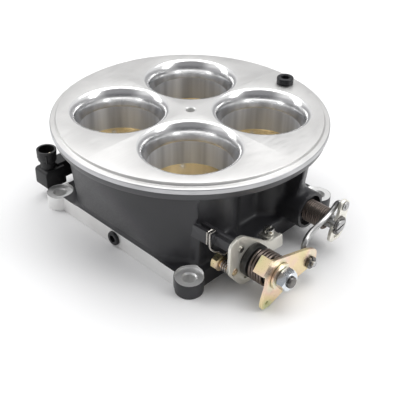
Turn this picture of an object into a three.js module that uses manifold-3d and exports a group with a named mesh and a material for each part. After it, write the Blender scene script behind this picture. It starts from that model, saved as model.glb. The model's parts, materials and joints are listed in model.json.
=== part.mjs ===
// Four-barrel throttle body with a large square flange: one casting, two throttle shafts,
// four blades and a progressive linkage on the +X side. Millimetres, +Z up.
// Origin: centre of the manifold face. Throttle shafts run along X, the primary one at -Y.
import * as THREE from 'three';
import { mergeVertices } from 'three/addons/utils/BufferGeometryUtils.js';
import Module from 'manifold-3d';

const wasm = await Module();
wasm.setup();

// ---- Driving dimensions -------------------------------------------------------------------
const BORE_OFFSET = 35;          // bore centres at (+-35, +-35)
const BORE_R = 28.6;
const BARREL_R = 33;             // casting wall around a bore
const LIP_WIDTH = 6.3;           // bell-mouth lip, measured outwards from the bore
const LIP_DEPTH = 16.5;
const LIP_STEPS = 4;
const TOP_Z = 81;
const NECK_R = 92.87;            // air-cleaner neck, 185.7 mm across
const NECK_STEP = 2.4;
const RIM_R = 97;
const RIM_LOW_Z = 71;
const STUD_HOLE_R = 3.3;
const STUD_HOLE_DEPTH = 20;

const EAR_OFFSET = 68.26;        // flange bolts, 136.5 mm apart
const EAR_R = 9.7;
const EAR_TOP_Z = 10.6;
const EAR_HOLE_R = 4.25;
const SPOT_FACE_R = 9.9;
const FLANGE_HALF = 72.3;
const FLANGE_TOP_Z = 12.5;
const WALL_R_LOW = 82;           // the outer wall leans out towards the rim
const WALL_R_HIGH = 88.3;
const WALL_TOP_Z = 68.5;
const WALL_HALF_LOW = 70.5;
const WALL_HALF_HIGH = 89.5;
const FLATS_TOP_Z = 66;

const SHAFT_Z = 21;
const SHAFT_R = 4.75;
const STUD_END_R = 3.95;
const PRIMARY_Y = -BORE_OFFSET;
const SECONDARY_Y = BORE_OFFSET;
const CLOSED_ANGLE = THREE.MathUtils.degToRad(12);
const BLADE_THICK = 1.6;
const BLADE_R = BORE_R - 0.45;
const GAP = 0.3;                 // room left between neighbouring pieces

const BOSS_R = 8.7;
const BOSS_END_X = 79;
const CUP_R = 14;                // cup on the secondary shaft that holds its return spring
const CUP_INNER_R = 11.4;
const CUP_FLOOR_X = 80;
const CUP_END_X = 85;
const CUP_Y = 35.5;
const CUP_Z = 20.5;

const LEVER_X = 89;              // throttle lever, inner face
const LEVER_THICK = 2.2;
const LINK_LEVER_X = 113;
const LINK_LEVER_THICK = 2.2;
const SECONDARY_LEVER_X = 107;
const SECONDARY_LEVER_THICK = 2.4;
const ROD_R = 2;
const ROD_LOW = [-3.5, 14];      // y, z of the rod's pivot on the link lever
const ROD_END_X = 105.9;
const ROD_HIGH = [40, 34.5];     // y, z of the rod's far end, behind the secondary lever's hole

const LUG_ROOT = [50, -57.6, 46.8];  // start of the grooved lug's upper centre line
const LUG_YAW = 12.3;                // degrees, towards +Y
const LUG_DROP = 9.7;                // degrees, downwards
const LUG_LENGTH = 38.4;
const LUG_HALF_WIDTH = 4;
const LUG_HEIGHT = 10;
const LUG_GROOVE_HALF = 1.6;
const LUG_GROOVE_DEPTH = 2.5;
const LUG_STEP_AT = 27;              // beyond here only the lug's inner wall goes on
const STOP_PAD_TOP = 12.7;       // the idle screw rests above this pad
const BEARING_R = 6.7;
const BEARING_POCKET_R = 7;
const BEARING_LEFT_X = [-76, -69.3];
const BEARING_RIGHT_X = [70.3, 76];
const SEAL_LEFT_X = [-78.8, -76.4];
const SEAL_RIGHT_X = [76.4, 78.6];
const END_PLUG_X = [-78.6, -76.8];

const TOP_PLUG_AT = [19, 80.5];
const TOP_PLUG_R = 6.25;
const TOP_PLUG_THREAD_R = 4.5;
const FRONT_PLUG_AT = [-1.7, 6.2];   // x, z on the flange's front edge
const FRONT_PLUG_R = 5.2;

const BLADE_SCREW_OFFSET = 13;   // each side of the blade's centre
const BLADE_SCREW_R = 1.5;
const BLADE_SCREW_HEAD_R = 3.3;

const SENSOR_X = -80.2;          // sensor's mounting face
const SENSOR_OUT_X = -93;
const SENSOR_MOUNT_THICK = 4;
const SENSOR_SCREW_Z = [4.8, 37.2];
const SOCKET_AT = [-85.5, -65];
const SOCKET_FLOOR_Z = 31;
const SOCKET_TOP_Z = 39;
const TERMINAL_PITCH = 2.6;

const CABLE_HOLE = [-45.5, 34];  // y, z on the throttle lever
const LOWER_HOLE = [-38.5, 8.5];
const LEVER_BOLT = [-50, 18];
const IDLE_SCREW_AT = [84.5, -10];
const TAB_Z = 22;
const TAB_THICK = 2.2;

const PRIMARY_SHAFT_X = [-86, 112.7];
const STUD_END_X = 126;
const SECONDARY_SHAFT_X = [-76, 112];

const BORE_SIDES = 40;
const DISC_SIDES = 64;
const ROUND_SIDES = 18;
const SMALL_SIDES = 12;

// ---- Finishes -----------------------------------------------------------------------------
const finish = (color, roughness, metalness) =>
  () => new THREE.MeshStandardMaterial({ color, roughness, metalness });
const blackCasting = finish(0x17171a, 0.55, 0.2);
const blackOxide = finish(0x1c1c20, 0.4, 0.7);
const blackPlastic = finish(0x121214, 0.5, 0);
const steel = finish(0xa8a8a8, 0.3, 1);
const darkSteel = finish(0x55504c, 0.35, 1);
const brass = finish(0xb98f45, 0.35, 1);
const brightZinc = finish(0xd9dad2, 0.3, 0.9);
const yellowZinc = finish(0xcdb56a, 0.35, 0.9);
const springBronze = finish(0x5d4a40, 0.45, 0.8);
const rubber = finish(0x0e0e0e, 0.8, 0);
const copperTin = finish(0xc8b48a, 0.35, 1);

// ---- Solids -------------------------------------------------------------------------------
function solidOf(geometry) {
  const bare = geometry.clone();
  bare.deleteAttribute('normal');
  bare.deleteAttribute('uv');
  const merged = mergeVertices(bare, 1e-4);
  const corners = merged.index.array;
  const kept = [];
  for (let i = 0; i < corners.length; i += 3) {
    const [a, b, c] = corners.slice(i, i + 3);
    if (a !== b && b !== c && c !== a) kept.push(a, b, c);
  }
  return new wasm.Manifold(new wasm.Mesh({
    numProp: 3,
    vertProperties: new Float32Array(merged.attributes.position.array),
    triVerts: new Uint32Array(kept),
  }));
}

function geometryOf(solid) {
  const mesh = solid.getMesh();
  const geometry = new THREE.BufferGeometry();
  geometry.setAttribute('position', new THREE.BufferAttribute(mesh.vertProperties, 3));
  geometry.setIndex(new THREE.BufferAttribute(mesh.triVerts, 1));
  return geometry;
}

function joined(solids) {
  return solids.reduce((whole, next) => whole.add(next));
}

// A box between two corners.
function block([x0, y0, z0], [x1, y1, z1]) {
  const box = new THREE.BoxGeometry(x1 - x0, y1 - y0, z1 - z0);
  box.translate((x0 + x1) / 2, (y0 + y1) / 2, (z0 + z1) / 2);
  return solidOf(box);
}

// Cylinders and cones along each axis, from one end to the other.
function roundX(x0, x1, y, z, r, sides = ROUND_SIDES, rEnd = r) {
  const rod = new THREE.CylinderGeometry(rEnd, r, x1 - x0, sides);
  rod.rotateZ(-Math.PI / 2);
  rod.translate((x0 + x1) / 2, y, z);
  return solidOf(rod);
}

function roundY(y0, y1, x, z, r, sides = ROUND_SIDES) {
  const rod = new THREE.CylinderGeometry(r, r, y1 - y0, sides);
  rod.translate(x, (y0 + y1) / 2, z);
  return solidOf(rod);
}

function roundZ(z0, z1, x, y, r, sides = ROUND_SIDES, rTop = r) {
  const rod = new THREE.CylinderGeometry(rTop, r, z1 - z0, sides);
  rod.rotateX(Math.PI / 2);
  rod.translate(x, y, (z0 + z1) / 2);
  return solidOf(rod);
}

function ringX(x0, x1, y, z, rIn, rOut, sides = ROUND_SIDES) {
  return roundX(x0, x1, y, z, rOut, sides).subtract(roundX(x0 - 1, x1 + 1, y, z, rIn, sides));
}

// A solid of revolution about Z from [radius, height] points.
function turned(points, sides) {
  const profile = points.map(([r, z]) => new THREE.Vector2(r, z));
  const lathe = new THREE.LatheGeometry(profile, sides);
  lathe.rotateX(Math.PI / 2);
  return solidOf(lathe);
}

// A flat outline in the Y-Z plane with rounded corners [y, z, cut], made a plate from x0 to x1.
function plateX(corners, x0, x1) {
  const shape = new THREE.Shape();
  const towards = ([y, z, cut], [ty, tz]) => {
    const share = cut / Math.hypot(ty - y, tz - z);
    return [y + (ty - y) * share, z + (tz - z) * share];
  };
  corners.forEach((corner, i) => {
    const start = towards(corner, corners.at(i - 1));
    const end = towards(corner, corners[(i + 1) % corners.length]);
    if (i === 0) shape.moveTo(...start);
    else shape.lineTo(...start);
    if (corner[2] > 0) shape.quadraticCurveTo(corner[0], corner[1], ...end);
  });
  const plate = new THREE.ExtrudeGeometry(
    shape, { depth: x1 - x0, bevelEnabled: false, curveSegments: 4 });
  const toYZ = new THREE.Matrix4().makeBasis(
    new THREE.Vector3(0, 1, 0), new THREE.Vector3(0, 0, 1), new THREE.Vector3(1, 0, 0));
  plate.applyMatrix4(toYZ);
  plate.translate(x0, 0, 0);
  return solidOf(plate);
}

// A round wire along a smooth curve through points.
function wire(points, r, steps, sides = 6) {
  const section = new THREE.Shape();
  for (let i = 0; i < sides; i += 1) {
    const turn = (2 * Math.PI * i) / sides;
    const corner = [r * Math.cos(turn), r * Math.sin(turn)];
    if (i === 0) section.moveTo(...corner);
    else section.lineTo(...corner);
  }
  const stations = points.map((p) => new THREE.Vector3(...p));
  const path = new THREE.CatmullRomCurve3(stations, false, 'centripetal');
  return solidOf(new THREE.ExtrudeGeometry(section, { extrudePath: path, steps, bevelEnabled: false }));
}

// The points of a coil about a line along X.
function coilPoints(x0, y, z, radius, turns, pitch, startTurn = 0, perTurn = 12) {
  const points = [];
  for (let i = 0; i <= turns * perTurn; i += 1) {
    const turn = 2 * Math.PI * (i / perTurn + startTurn);
    points.push([x0 + (pitch * i) / perTurn, y + radius * Math.cos(turn), z + radius * Math.sin(turn)]);
  }
  return points;
}

function hexX(x0, x1, y, z, acrossFlats) {
  return roundX(x0, x1, y, z, acrossFlats / Math.sqrt(3), 6);
}

const group = new THREE.Group();

function place(name, solid, material, parent = group) {
  const mesh = new THREE.Mesh(geometryOf(solid), material());
  mesh.name = name;
  parent.add(mesh);
  return mesh;
}

// ---- Casting ------------------------------------------------------------------------------
const SIDES = [-1, 1];
const bores = SIDES.flatMap((i) => SIDES.map((j) => [i * BORE_OFFSET, j * BORE_OFFSET]));
const ears = SIDES.flatMap((i) => SIDES.map((j) => [i * EAR_OFFSET, j * EAR_OFFSET]));

function boreCutter() {
  const points = [[0, -5], [BORE_R, -5]];
  for (let i = 0; i <= LIP_STEPS; i += 1) {
    const turn = (Math.PI / 2) * (i / LIP_STEPS);
    points.push([
      BORE_R + LIP_WIDTH * (1 - Math.cos(turn)),
      TOP_Z - LIP_DEPTH + LIP_DEPTH * Math.sin(turn),
    ]);
  }
  points.push([BORE_R + LIP_WIDTH, TOP_Z + 5], [0, TOP_Z + 5]);
  return turned(points, BORE_SIDES);
}

// Rim, neck and leaning outer wall are one turned form. Flats on its four sides fade out upwards.
function turnedForm() {
  const low = FLANGE_TOP_Z - 2;
  const form = turned([
    [0, low], [WALL_R_LOW, low], [WALL_R_HIGH, WALL_TOP_Z], [RIM_R - 0.6, RIM_LOW_Z],
    [RIM_R, RIM_LOW_Z + 4], [RIM_R, TOP_Z - NECK_STEP], [NECK_R, TOP_Z - NECK_STEP],
    [NECK_R, TOP_Z - 0.5], [NECK_R - 0.5, TOP_Z], [0, TOP_Z],
  ], DISC_SIDES);
  const flats = new THREE.CylinderGeometry(
    WALL_HALF_HIGH * Math.SQRT2, WALL_HALF_LOW * Math.SQRT2, FLATS_TOP_Z - low + 1, 4);
  flats.rotateY(Math.PI / 4);
  flats.rotateX(Math.PI / 2);
  flats.translate(0, 0, (low - 1 + FLATS_TOP_Z) / 2);
  const above = block([-110, -110, FLATS_TOP_Z - 0.1], [110, 110, TOP_Z + 10]);
  return form.intersect(solidOf(flats).add(above));
}

function flange() {
  const plate = block([-FLANGE_HALF, -FLANGE_HALF, 0], [FLANGE_HALF, FLANGE_HALF, FLANGE_TOP_Z]);
  const discs = ears.map(([x, y]) => roundZ(0, FLANGE_TOP_Z, x, y, EAR_R, 28));
  return joined([plate, ...discs]);
}

// On the linkage side the wall is cut back to the barrels, so the bosses stand clear.
function linkageRecess() {
  const room = block([50, -57, FLANGE_TOP_Z + 2], [110, 27, RIM_LOW_Z - 3]);
  const barrels = [[BORE_OFFSET, PRIMARY_Y], [BORE_OFFSET, SECONDARY_Y]]
    .map(([x, y]) => roundZ(0, TOP_Z, x, y, BARREL_R, 36));
  return room.subtract(joined(barrels)).subtract(block([0, -20, 0], [56, 20, TOP_Z]));
}

// The lug carries the return spring's leg: two walls with a groove between, leaning down
// from the barrel towards the throttle lever.
function springLug() {
  const start = LUG_STEP_AT - 19;
  const whole = block([0, -LUG_HALF_WIDTH, -LUG_HEIGHT], [LUG_LENGTH, LUG_HALF_WIDTH, 0]);
  const groove = block(
    [start, -LUG_GROOVE_HALF, -LUG_GROOVE_DEPTH], [LUG_LENGTH + 1, LUG_GROOVE_HALF, 1]);
  const step = block(
    [LUG_STEP_AT, -LUG_HALF_WIDTH - 1, -LUG_HEIGHT - 1], [LUG_LENGTH + 1, -0.6, 1]);
  return whole.subtract(groove.add(step)).rotate([0, LUG_DROP, LUG_YAW]).translate(LUG_ROOT);
}

function bosses() {
  const lugWeb = plateX([[-58, 12, 0], [-52, 12, 0], [-52, 37, 0], [-58, 37, 0]], 50, 66);
  return [
    roundX(40, BOSS_END_X, PRIMARY_Y, SHAFT_Z, BOSS_R, 28),
    roundX(50, CUP_END_X, CUP_Y, CUP_Z, CUP_R, 36),
    springLug(),
    lugWeb,
    block([68, -14, 4], [87.5, -6, STOP_PAD_TOP]),
    // sensor pad and secondary end boss on the other side
    plateX([[-45, 0.2, 5], [-25, 0.2, 5], [-25, 42, 6], [-45, 42, 6]], -79.8, -64),
    roundX(-79, -60, SECONDARY_Y, SHAFT_Z, 10, 28),
  ];
}

function mainBody() {
  let body = turnedForm().add(flange());
  body = body.subtract(linkageRecess());
  body = joined([body, ...bosses()]);
  const bore = boreCutter();
  const cuts = bores.map(([x, y]) => bore.translate([x, y, 0]));
  // shaft bores with a pocket for the bearing and seal at each end
  for (const y of [PRIMARY_Y, SECONDARY_Y]) {
    cuts.push(roundX(-100, 100, y, SHAFT_Z, SHAFT_R + GAP));
  }
  cuts.push(roundX(69, 82, PRIMARY_Y, SHAFT_Z, BEARING_POCKET_R));
  cuts.push(roundX(70, 82, SECONDARY_Y, SHAFT_Z, BEARING_POCKET_R));
  cuts.push(roundX(-90, -69, PRIMARY_Y, SHAFT_Z, BEARING_POCKET_R));
  cuts.push(roundX(-90, -69, SECONDARY_Y, SHAFT_Z, BEARING_POCKET_R));
  cuts.push(roundX(CUP_FLOOR_X, 95, CUP_Y, CUP_Z, CUP_INNER_R, 28));
  // mounting ears: spot faces and bolt holes
  for (const [x, y] of ears) {
    cuts.push(roundZ(EAR_TOP_Z, 20, x, y, SPOT_FACE_R, 28));
    cuts.push(roundZ(-5, 20, x, y, EAR_HOLE_R));
  }
  cuts.push(roundZ(TOP_Z - STUD_HOLE_DEPTH, TOP_Z + 5, 0, 0, STUD_HOLE_R));
  cuts.push(roundZ(TOP_Z - 9, TOP_Z + 5, ...TOP_PLUG_AT, TOP_PLUG_THREAD_R + GAP));
  cuts.push(roundY(-80, -62, FRONT_PLUG_AT[0], FRONT_PLUG_AT[1], FRONT_PLUG_R + GAP));
  for (const z of SENSOR_SCREW_Z) cuts.push(roundX(-90, -70, PRIMARY_Y, z, 2.2, SMALL_SIDES));
  return body.subtract(joined(cuts));
}

// ---- Plugs --------------------------------------------------------------------------------
function topPortPlug() {
  const [x, y] = TOP_PLUG_AT;
  const head = roundZ(TOP_Z + GAP, TOP_Z + 5, x, y, TOP_PLUG_R, 24, TOP_PLUG_R - 0.5);
  const thread = roundZ(TOP_Z - 8, TOP_Z + 1, x, y, TOP_PLUG_THREAD_R);
  const socket = roundZ(TOP_Z + 1, TOP_Z + 9, x, y, 3.5, 6);
  return head.add(thread).subtract(socket);
}

function frontPortPlug() {
  const [x, z] = FRONT_PLUG_AT;
  const plug = roundY(-FLANGE_HALF - 1.8, -63, x, z, FRONT_PLUG_R, 24);
  const socket = roundY(-FLANGE_HALF - 5, -FLANGE_HALF + 3, x, z, 2.9, 6);
  return plug.subtract(socket);
}

place('main_body', mainBody(), blackCasting);
place('top_port_plug', topPortPlug(), blackOxide);
place('front_port_plug', frontPortPlug(), blackOxide);

// ---- Shafts, blades, bearings -------------------------------------------------------------
// A shaft is half-round through each bore: the blade lies on the flat, held by two screws.
const FLAT_HALF = BORE_R + 0.5;

function tilted(solid, y) {
  return solid.translate([0, -y, -SHAFT_Z])
    .rotate([THREE.MathUtils.radToDeg(CLOSED_ANGLE), 0, 0])
    .translate([0, y, SHAFT_Z]);
}

function shaft(y, [xLow, xHigh]) {
  let whole = roundX(xLow, xHigh, y, SHAFT_Z, SHAFT_R);
  for (const x of [-BORE_OFFSET, BORE_OFFSET]) {
    whole = whole.subtract(block(
      [x - FLAT_HALF, y - 8, SHAFT_Z - GAP / 2], [x + FLAT_HALF, y + 8, SHAFT_Z + 8]));
    for (const side of SIDES) {
      whole = whole.subtract(roundZ(0, 40, x + side * BLADE_SCREW_OFFSET, y, BLADE_SCREW_R + GAP, 10));
    }
  }
  return whole;
}

// A blade is the slice of a bore that its plane cuts, so its rim is bevelled to the bore.
function blade(x, y) {
  const slab = block(
    [x - 40, y - 40, SHAFT_Z + GAP / 2], [x + 40, y + 40, SHAFT_Z + GAP / 2 + BLADE_THICK]);
  let disc = tilted(slab, y).intersect(roundZ(0, 50, x, y, BLADE_R, 40));
  for (const side of SIDES) {
    const hole = roundZ(10, 35, x + side * BLADE_SCREW_OFFSET, y, BLADE_SCREW_R + GAP, 10);
    disc = disc.subtract(tilted(hole, y));
  }
  return disc;
}

function bladeScrew(x, y) {
  const seat = SHAFT_Z + GAP / 2 + BLADE_THICK + 0.1;
  const head = roundZ(seat, seat + 1.9, x, y, BLADE_SCREW_HEAD_R, SMALL_SIDES, BLADE_SCREW_HEAD_R - 1);
  const shank = roundZ(SHAFT_Z - 3.6, seat + 0.5, x, y, BLADE_SCREW_R, 8);
  return tilted(head.add(shank), y);
}

// A bearing or a seal round a shaft.
function shaftRing([x0, x1], y) {
  return ringX(x0, x1, y, SHAFT_Z, SHAFT_R + GAP, BEARING_R, 16);
}

const primary = new THREE.Group();
const secondary = new THREE.Group();
const rod = new THREE.Group();
group.add(primary, secondary, rod);

const primaryShaft = tilted(shaft(PRIMARY_Y, PRIMARY_SHAFT_X), PRIMARY_Y)
  .add(roundX(100, STUD_END_X - 1.2, PRIMARY_Y, SHAFT_Z, STUD_END_R))
  .add(roundX(STUD_END_X - 1.2, STUD_END_X, PRIMARY_Y, SHAFT_Z, STUD_END_R, ROUND_SIDES, STUD_END_R - 1));
place('primary_shaft', primaryShaft, darkSteel, primary);

const SHAFT_SLOT = block(
  [SECONDARY_SHAFT_X[1] - 1.5, SECONDARY_Y - 6, SHAFT_Z - 0.7],
  [SECONDARY_SHAFT_X[1] + 1, SECONDARY_Y + 6, SHAFT_Z + 0.7]);
const secondaryShaft = tilted(
  shaft(SECONDARY_Y, SECONDARY_SHAFT_X).subtract(SHAFT_SLOT), SECONDARY_Y);
place('secondary_shaft', secondaryShaft, steel, secondary);

for (const [name, y, parent] of [['primary', PRIMARY_Y, primary], ['secondary', SECONDARY_Y, secondary]]) {
  place(`${name}_blade_left`, blade(-BORE_OFFSET, y), brass, parent);
  place(`${name}_blade_right`, blade(BORE_OFFSET, y), brass, parent);
  const screwPlaces = SIDES.flatMap(
    (bore) => SIDES.map((side) => bore * BORE_OFFSET + side * BLADE_SCREW_OFFSET));
  screwPlaces.forEach((x, i) => {
    place(`${name}_blade_screw_${i + 1}`, bladeScrew(x, y), steel, parent);
  });
  place(`${name}_bearing_left`, shaftRing(BEARING_LEFT_X, y), steel);
  place(`${name}_bearing_right`, shaftRing(BEARING_RIGHT_X, y), steel);
  place(`${name}_seal_right`, shaftRing(SEAL_RIGHT_X, y), rubber);
}
place('primary_seal_left', shaftRing(SEAL_LEFT_X, PRIMARY_Y), rubber);
place('secondary_end_plug', roundX(...END_PLUG_X, SECONDARY_Y, SHAFT_Z, BEARING_R, 20), brightZinc);

// ---- Throttle position sensor -------------------------------------------------------------
function sensorHousing() {
  const [sx, sy] = SOCKET_AT;
  const mount = plateX(
    [[-42, 0.6, 5], [-28, 0.6, 5], [-28, 41.4, 6], [-42, 41.4, 6]],
    SENSOR_X - SENSOR_MOUNT_THICK, SENSOR_X);
  const drum = roundX(SENSOR_OUT_X, SENSOR_X, PRIMARY_Y, SHAFT_Z, 12.5, 28);
  const arm = block([SENSOR_OUT_X + 1, -60, 12], [SENSOR_X - 0.5, -40, 26]);
  const foot = plateX(
    [[-72.5, 9, 3], [-55, 9, 1], [-55, 24, 1], [-72.5, 24, 3]],
    SENSOR_OUT_X + 1, SENSOR_X + 2);
  const neck = roundZ(20, SOCKET_FLOOR_Z, sx, sy, 5.6, 20);
  const socket = roundZ(SOCKET_FLOOR_Z - 1.6, SOCKET_TOP_Z, sx, sy, 7, 24, 7.4);
  const pocket = roundX(SENSOR_X - 9.5, SENSOR_X + 2, PRIMARY_Y, SHAFT_Z, 7.2);
  const mouth = roundZ(SOCKET_FLOOR_Z, SOCKET_TOP_Z + 3, sx, sy, 5.9, 20);
  let housing = joined([mount, drum, arm, foot, neck, socket]).subtract(joined([pocket, mouth]));
  for (const z of SENSOR_SCREW_Z) {
    housing = housing.subtract(roundX(-90, -75, PRIMARY_Y, z, 2.2, SMALL_SIDES));
  }
  return housing;
}

function sensorTerminal(step) {
  const [x, sy] = SOCKET_AT;
  const y = sy + step * TERMINAL_PITCH;
  return block([x - 0.4, y - 0.8, SOCKET_FLOOR_Z + GAP], [x + 0.4, y + 0.8, SOCKET_TOP_Z - 3.8]);
}

function sensorScrew(z) {
  const seat = SENSOR_X - SENSOR_MOUNT_THICK - GAP;
  const head = roundX(seat - 2.6, seat, PRIMARY_Y, z, 3.3, SMALL_SIDES);
  return head.add(roundX(seat - 1, -72, PRIMARY_Y, z, 1.9, 8));
}

place('tps_housing', sensorHousing(), blackPlastic);
[-1, 0, 1].forEach((step, i) => place(`tps_terminal_${i + 1}`, sensorTerminal(step), copperTin));
SENSOR_SCREW_Z.forEach((z, i) => place(`tps_screw_${i + 1}`, sensorScrew(z), steel));
place('tps_rotor', roundX(-89.2, -86.3, PRIMARY_Y, SHAFT_Z, 6.6), blackPlastic, primary);

// ---- Return springs -----------------------------------------------------------------------
const RETURN_WIRE_R = 0.7;
const returnCoil = coilPoints(87.6, PRIMARY_Y, SHAFT_Z, 10.7, 3.5, -1.95, 0, 10);
// The leg climbs the lug's face, turns over it as a hairpin and comes down again.
const LEG_X = [73.2, 75.4];
const LEG_Y = -57.9;
const LEG_TOP_Z = 44.1;
const returnLeg = [
  [79.8, -48.4, 25], [78.6, -52.4, 28.4], [77, -56.4, 31], [75.8, LEG_Y, 34.2],
  [LEG_X[1], LEG_Y, LEG_TOP_Z - 1], [LEG_X[1], LEG_Y + 0.3, LEG_TOP_Z - 0.3],
  [LEG_X[1], LEG_Y + 1, LEG_TOP_Z], [LEG_X[1] - 0.1, -53.8, LEG_TOP_Z],
  [(LEG_X[0] + LEG_X[1]) / 2, -52.6, LEG_TOP_Z],
  [LEG_X[0] + 0.1, -53.8, LEG_TOP_Z], [LEG_X[0], LEG_Y + 1, LEG_TOP_Z],
  [LEG_X[0], LEG_Y + 0.3, LEG_TOP_Z - 0.3], [LEG_X[0], LEG_Y, LEG_TOP_Z - 1],
  [LEG_X[0], LEG_Y, 35],
];
place('primary_return_spring', wire([...returnCoil, ...returnLeg], RETURN_WIRE_R, 70, 5), steel);
place('return_spring_bushing',
  ringX(BOSS_END_X + GAP, 88.5, PRIMARY_Y, SHAFT_Z, SHAFT_R + GAP, 9.3, 24), blackPlastic);

const SECONDARY_COIL_TURNS = 10.6;
const SECONDARY_COIL_PITCH = 1.62;
const secondaryCoil = coilPoints(
  83.4, SECONDARY_Y, SHAFT_Z, 7.4, SECONDARY_COIL_TURNS, SECONDARY_COIL_PITCH, 0, 10);
place('secondary_return_spring', wire(secondaryCoil, 0.68, 106, 5), springBronze);

// ---- Throttle lever on the primary shaft --------------------------------------------------
function throttleLever() {
  const outline = [
    [-55.5, 41, 4], [-46, 45, 5], [-17, 24.5, 3], [-3.5, 24.2, 1.5], [-2, 13.5, 2], [-19, 14.5, 4],
    [-30.5, 1.5, 4], [-43.5, 3, 5], [-55.5, 18, 4],
  ];
  const plate = plateX(outline, LEVER_X, LEVER_X + LEVER_THICK);
  const [ix, iy] = IDLE_SCREW_AT;
  const tab = block([ix - 4.5, iy - 5, TAB_Z], [LEVER_X + 1, iy + 5, TAB_Z + TAB_THICK]);
  const holes = [
    roundX(80, 100, PRIMARY_Y, SHAFT_Z, SHAFT_R + GAP),
    roundX(80, 100, ...CABLE_HOLE, 2.3, SMALL_SIDES),
    roundX(80, 100, ...LOWER_HOLE, 2.1, SMALL_SIDES),
    roundX(80, 100, ...LEVER_BOLT, 2.5 + GAP, SMALL_SIDES),
    roundZ(10, 40, ix, iy, 2.1 + GAP, SMALL_SIDES),
  ];
  return plate.add(tab).subtract(joined(holes));
}

function cableStud() {
  const [y, z] = CABLE_HOLE;
  const shank = roundX(LEVER_X - 1, LEVER_X + LEVER_THICK + 0.8, y, z, 2, SMALL_SIDES);
  const head = roundX(LEVER_X - 2.2, LEVER_X - GAP, y, z, 3.4, SMALL_SIDES);
  return shank.add(head);
}

function idleScrew() {
  const [x, y] = IDLE_SCREW_AT;
  const seat = TAB_Z + TAB_THICK;
  const shank = roundZ(STOP_PAD_TOP + GAP, seat + 2, x, y, 2.1, SMALL_SIDES);
  const head = roundZ(seat + GAP, seat + 4.2, x, y, 3.7, ROUND_SIDES);
  const slot = block([x - 0.6, y - 5, seat + 2.6], [x + 0.6, y + 5, seat + 6]);
  return shank.add(head).subtract(slot);
}

function leverBolt() {
  const [y, z] = LEVER_BOLT;
  const head = hexX(74, 78.8, y, z, 9.5);
  const washer = roundX(78.6, 79.6, y, z, 5.2);
  return joined([head, washer, roundX(79, LEVER_X + LEVER_THICK + GAP, y, z, 2.5, SMALL_SIDES)]);
}

place('throttle_lever', throttleLever(), brightZinc, primary);
place('cable_stud', cableStud(), steel, primary);
place('idle_screw', idleScrew(), steel, primary);
place('idle_screw_nut',
  hexZ(IDLE_SCREW_AT, TAB_Z - GAP - 2.8, TAB_Z - GAP, 7.5, 2.1 + GAP), brightZinc, primary);
place('lever_bolt', leverBolt(), yellowZinc, primary);
place('lever_bolt_spring',
  wire(coilPoints(80.7, ...LEVER_BOLT, 3.2, 4, 1.75, 0, 8), 0.5, 32, 4), steel, primary);

function hexZ([x, y], z0, z1, acrossFlats, holeR) {
  return roundZ(z0, z1, x, y, acrossFlats / Math.sqrt(3), 6)
    .subtract(roundZ(z0 - 1, z1 + 1, x, y, holeR, SMALL_SIDES));
}

// ---- Progressive pick-up: bushing, spring, link lever and nut -----------------------------
const LEVER_FACE_X = LEVER_X + LEVER_THICK;

function springBushing() {
  const hub = roundX(LEVER_FACE_X + GAP, LINK_LEVER_X - GAP, PRIMARY_Y, SHAFT_Z, 9, 24);
  const collar = roundX(LEVER_FACE_X + GAP, LEVER_FACE_X + 5, PRIMARY_Y, SHAFT_Z, 11.5, 24);
  const bore = roundX(80, 120, PRIMARY_Y, SHAFT_Z, SHAFT_R + GAP);
  return hub.add(collar).subtract(bore);
}

function linkLever() {
  const outline = [
    [-43, 37, 2], [-6, 26, 4], [3.5, 21, 4], [3.5, 10, 5], [-12, 8.5, 3], [-28, 5.5, 3],
    [-43.5, 0.6, 3.5], [-51.5, 1.5, 4], [-50.5, 9, 2], [-47.5, 18, 2], [-47, 25, 1], [-51, 28.5, 1],
  ];
  const plate = plateX(outline, LINK_LEVER_X, LINK_LEVER_X + LINK_LEVER_THICK);
  const fold = plateX([[-43, 37, 0], [-51, 28.5, 0], [-52.4, 29.8, 0], [-44.4, 38.3, 0]],
    LINK_LEVER_X - 6, LINK_LEVER_X + LINK_LEVER_THICK);
  const holes = [
    roundX(100, 130, PRIMARY_Y, SHAFT_Z, STUD_END_R + GAP),
    roundX(100, 130, ...ROD_LOW, ROD_R + 0.4, 16),
    roundX(100, 130, -46.3, 5.4, 1.4, 10),
  ];
  return plate.add(fold).subtract(joined(holes));
}

const LINK_FACE_X = LINK_LEVER_X + LINK_LEVER_THICK;
const NUT_X = LINK_FACE_X + GAP + 1.7;

function shaftNut() {
  const across = 13.4;
  const top = NUT_X + 6.8;
  const shoulder = top - 2;
  const nut = hexX(NUT_X + GAP, top, PRIMARY_Y, SHAFT_Z, across);
  const trim = roundX(
    shoulder, top, PRIMARY_Y, SHAFT_Z, across / Math.sqrt(3) + 0.6, 24, across / 2 - 0.2);
  const body = roundX(NUT_X - 1, shoulder + 0.01, PRIMARY_Y, SHAFT_Z, across, 12);
  const thread = roundX(NUT_X - 1, top + 1, PRIMARY_Y, SHAFT_Z, STUD_END_R + GAP);
  return nut.intersect(body.add(trim)).subtract(thread);
}

const PICKUP_PITCH = 2.25;
place('spring_bushing', springBushing(), blackPlastic, primary);
const pickupCoil = coilPoints(98.2, PRIMARY_Y, SHAFT_Z, 10.5, 5, PICKUP_PITCH, 0.25, 10);
place('pickup_spring', wire(pickupCoil, 1, 50, 5), springBronze, primary);
place('link_lever', linkLever(), yellowZinc, primary);
place('lock_washer', ringX(LINK_FACE_X + GAP, NUT_X, PRIMARY_Y, SHAFT_Z, STUD_END_R + GAP, 9.3, 24),
  yellowZinc, primary);
place('shaft_nut', shaftNut(), brightZinc, primary);

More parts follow.
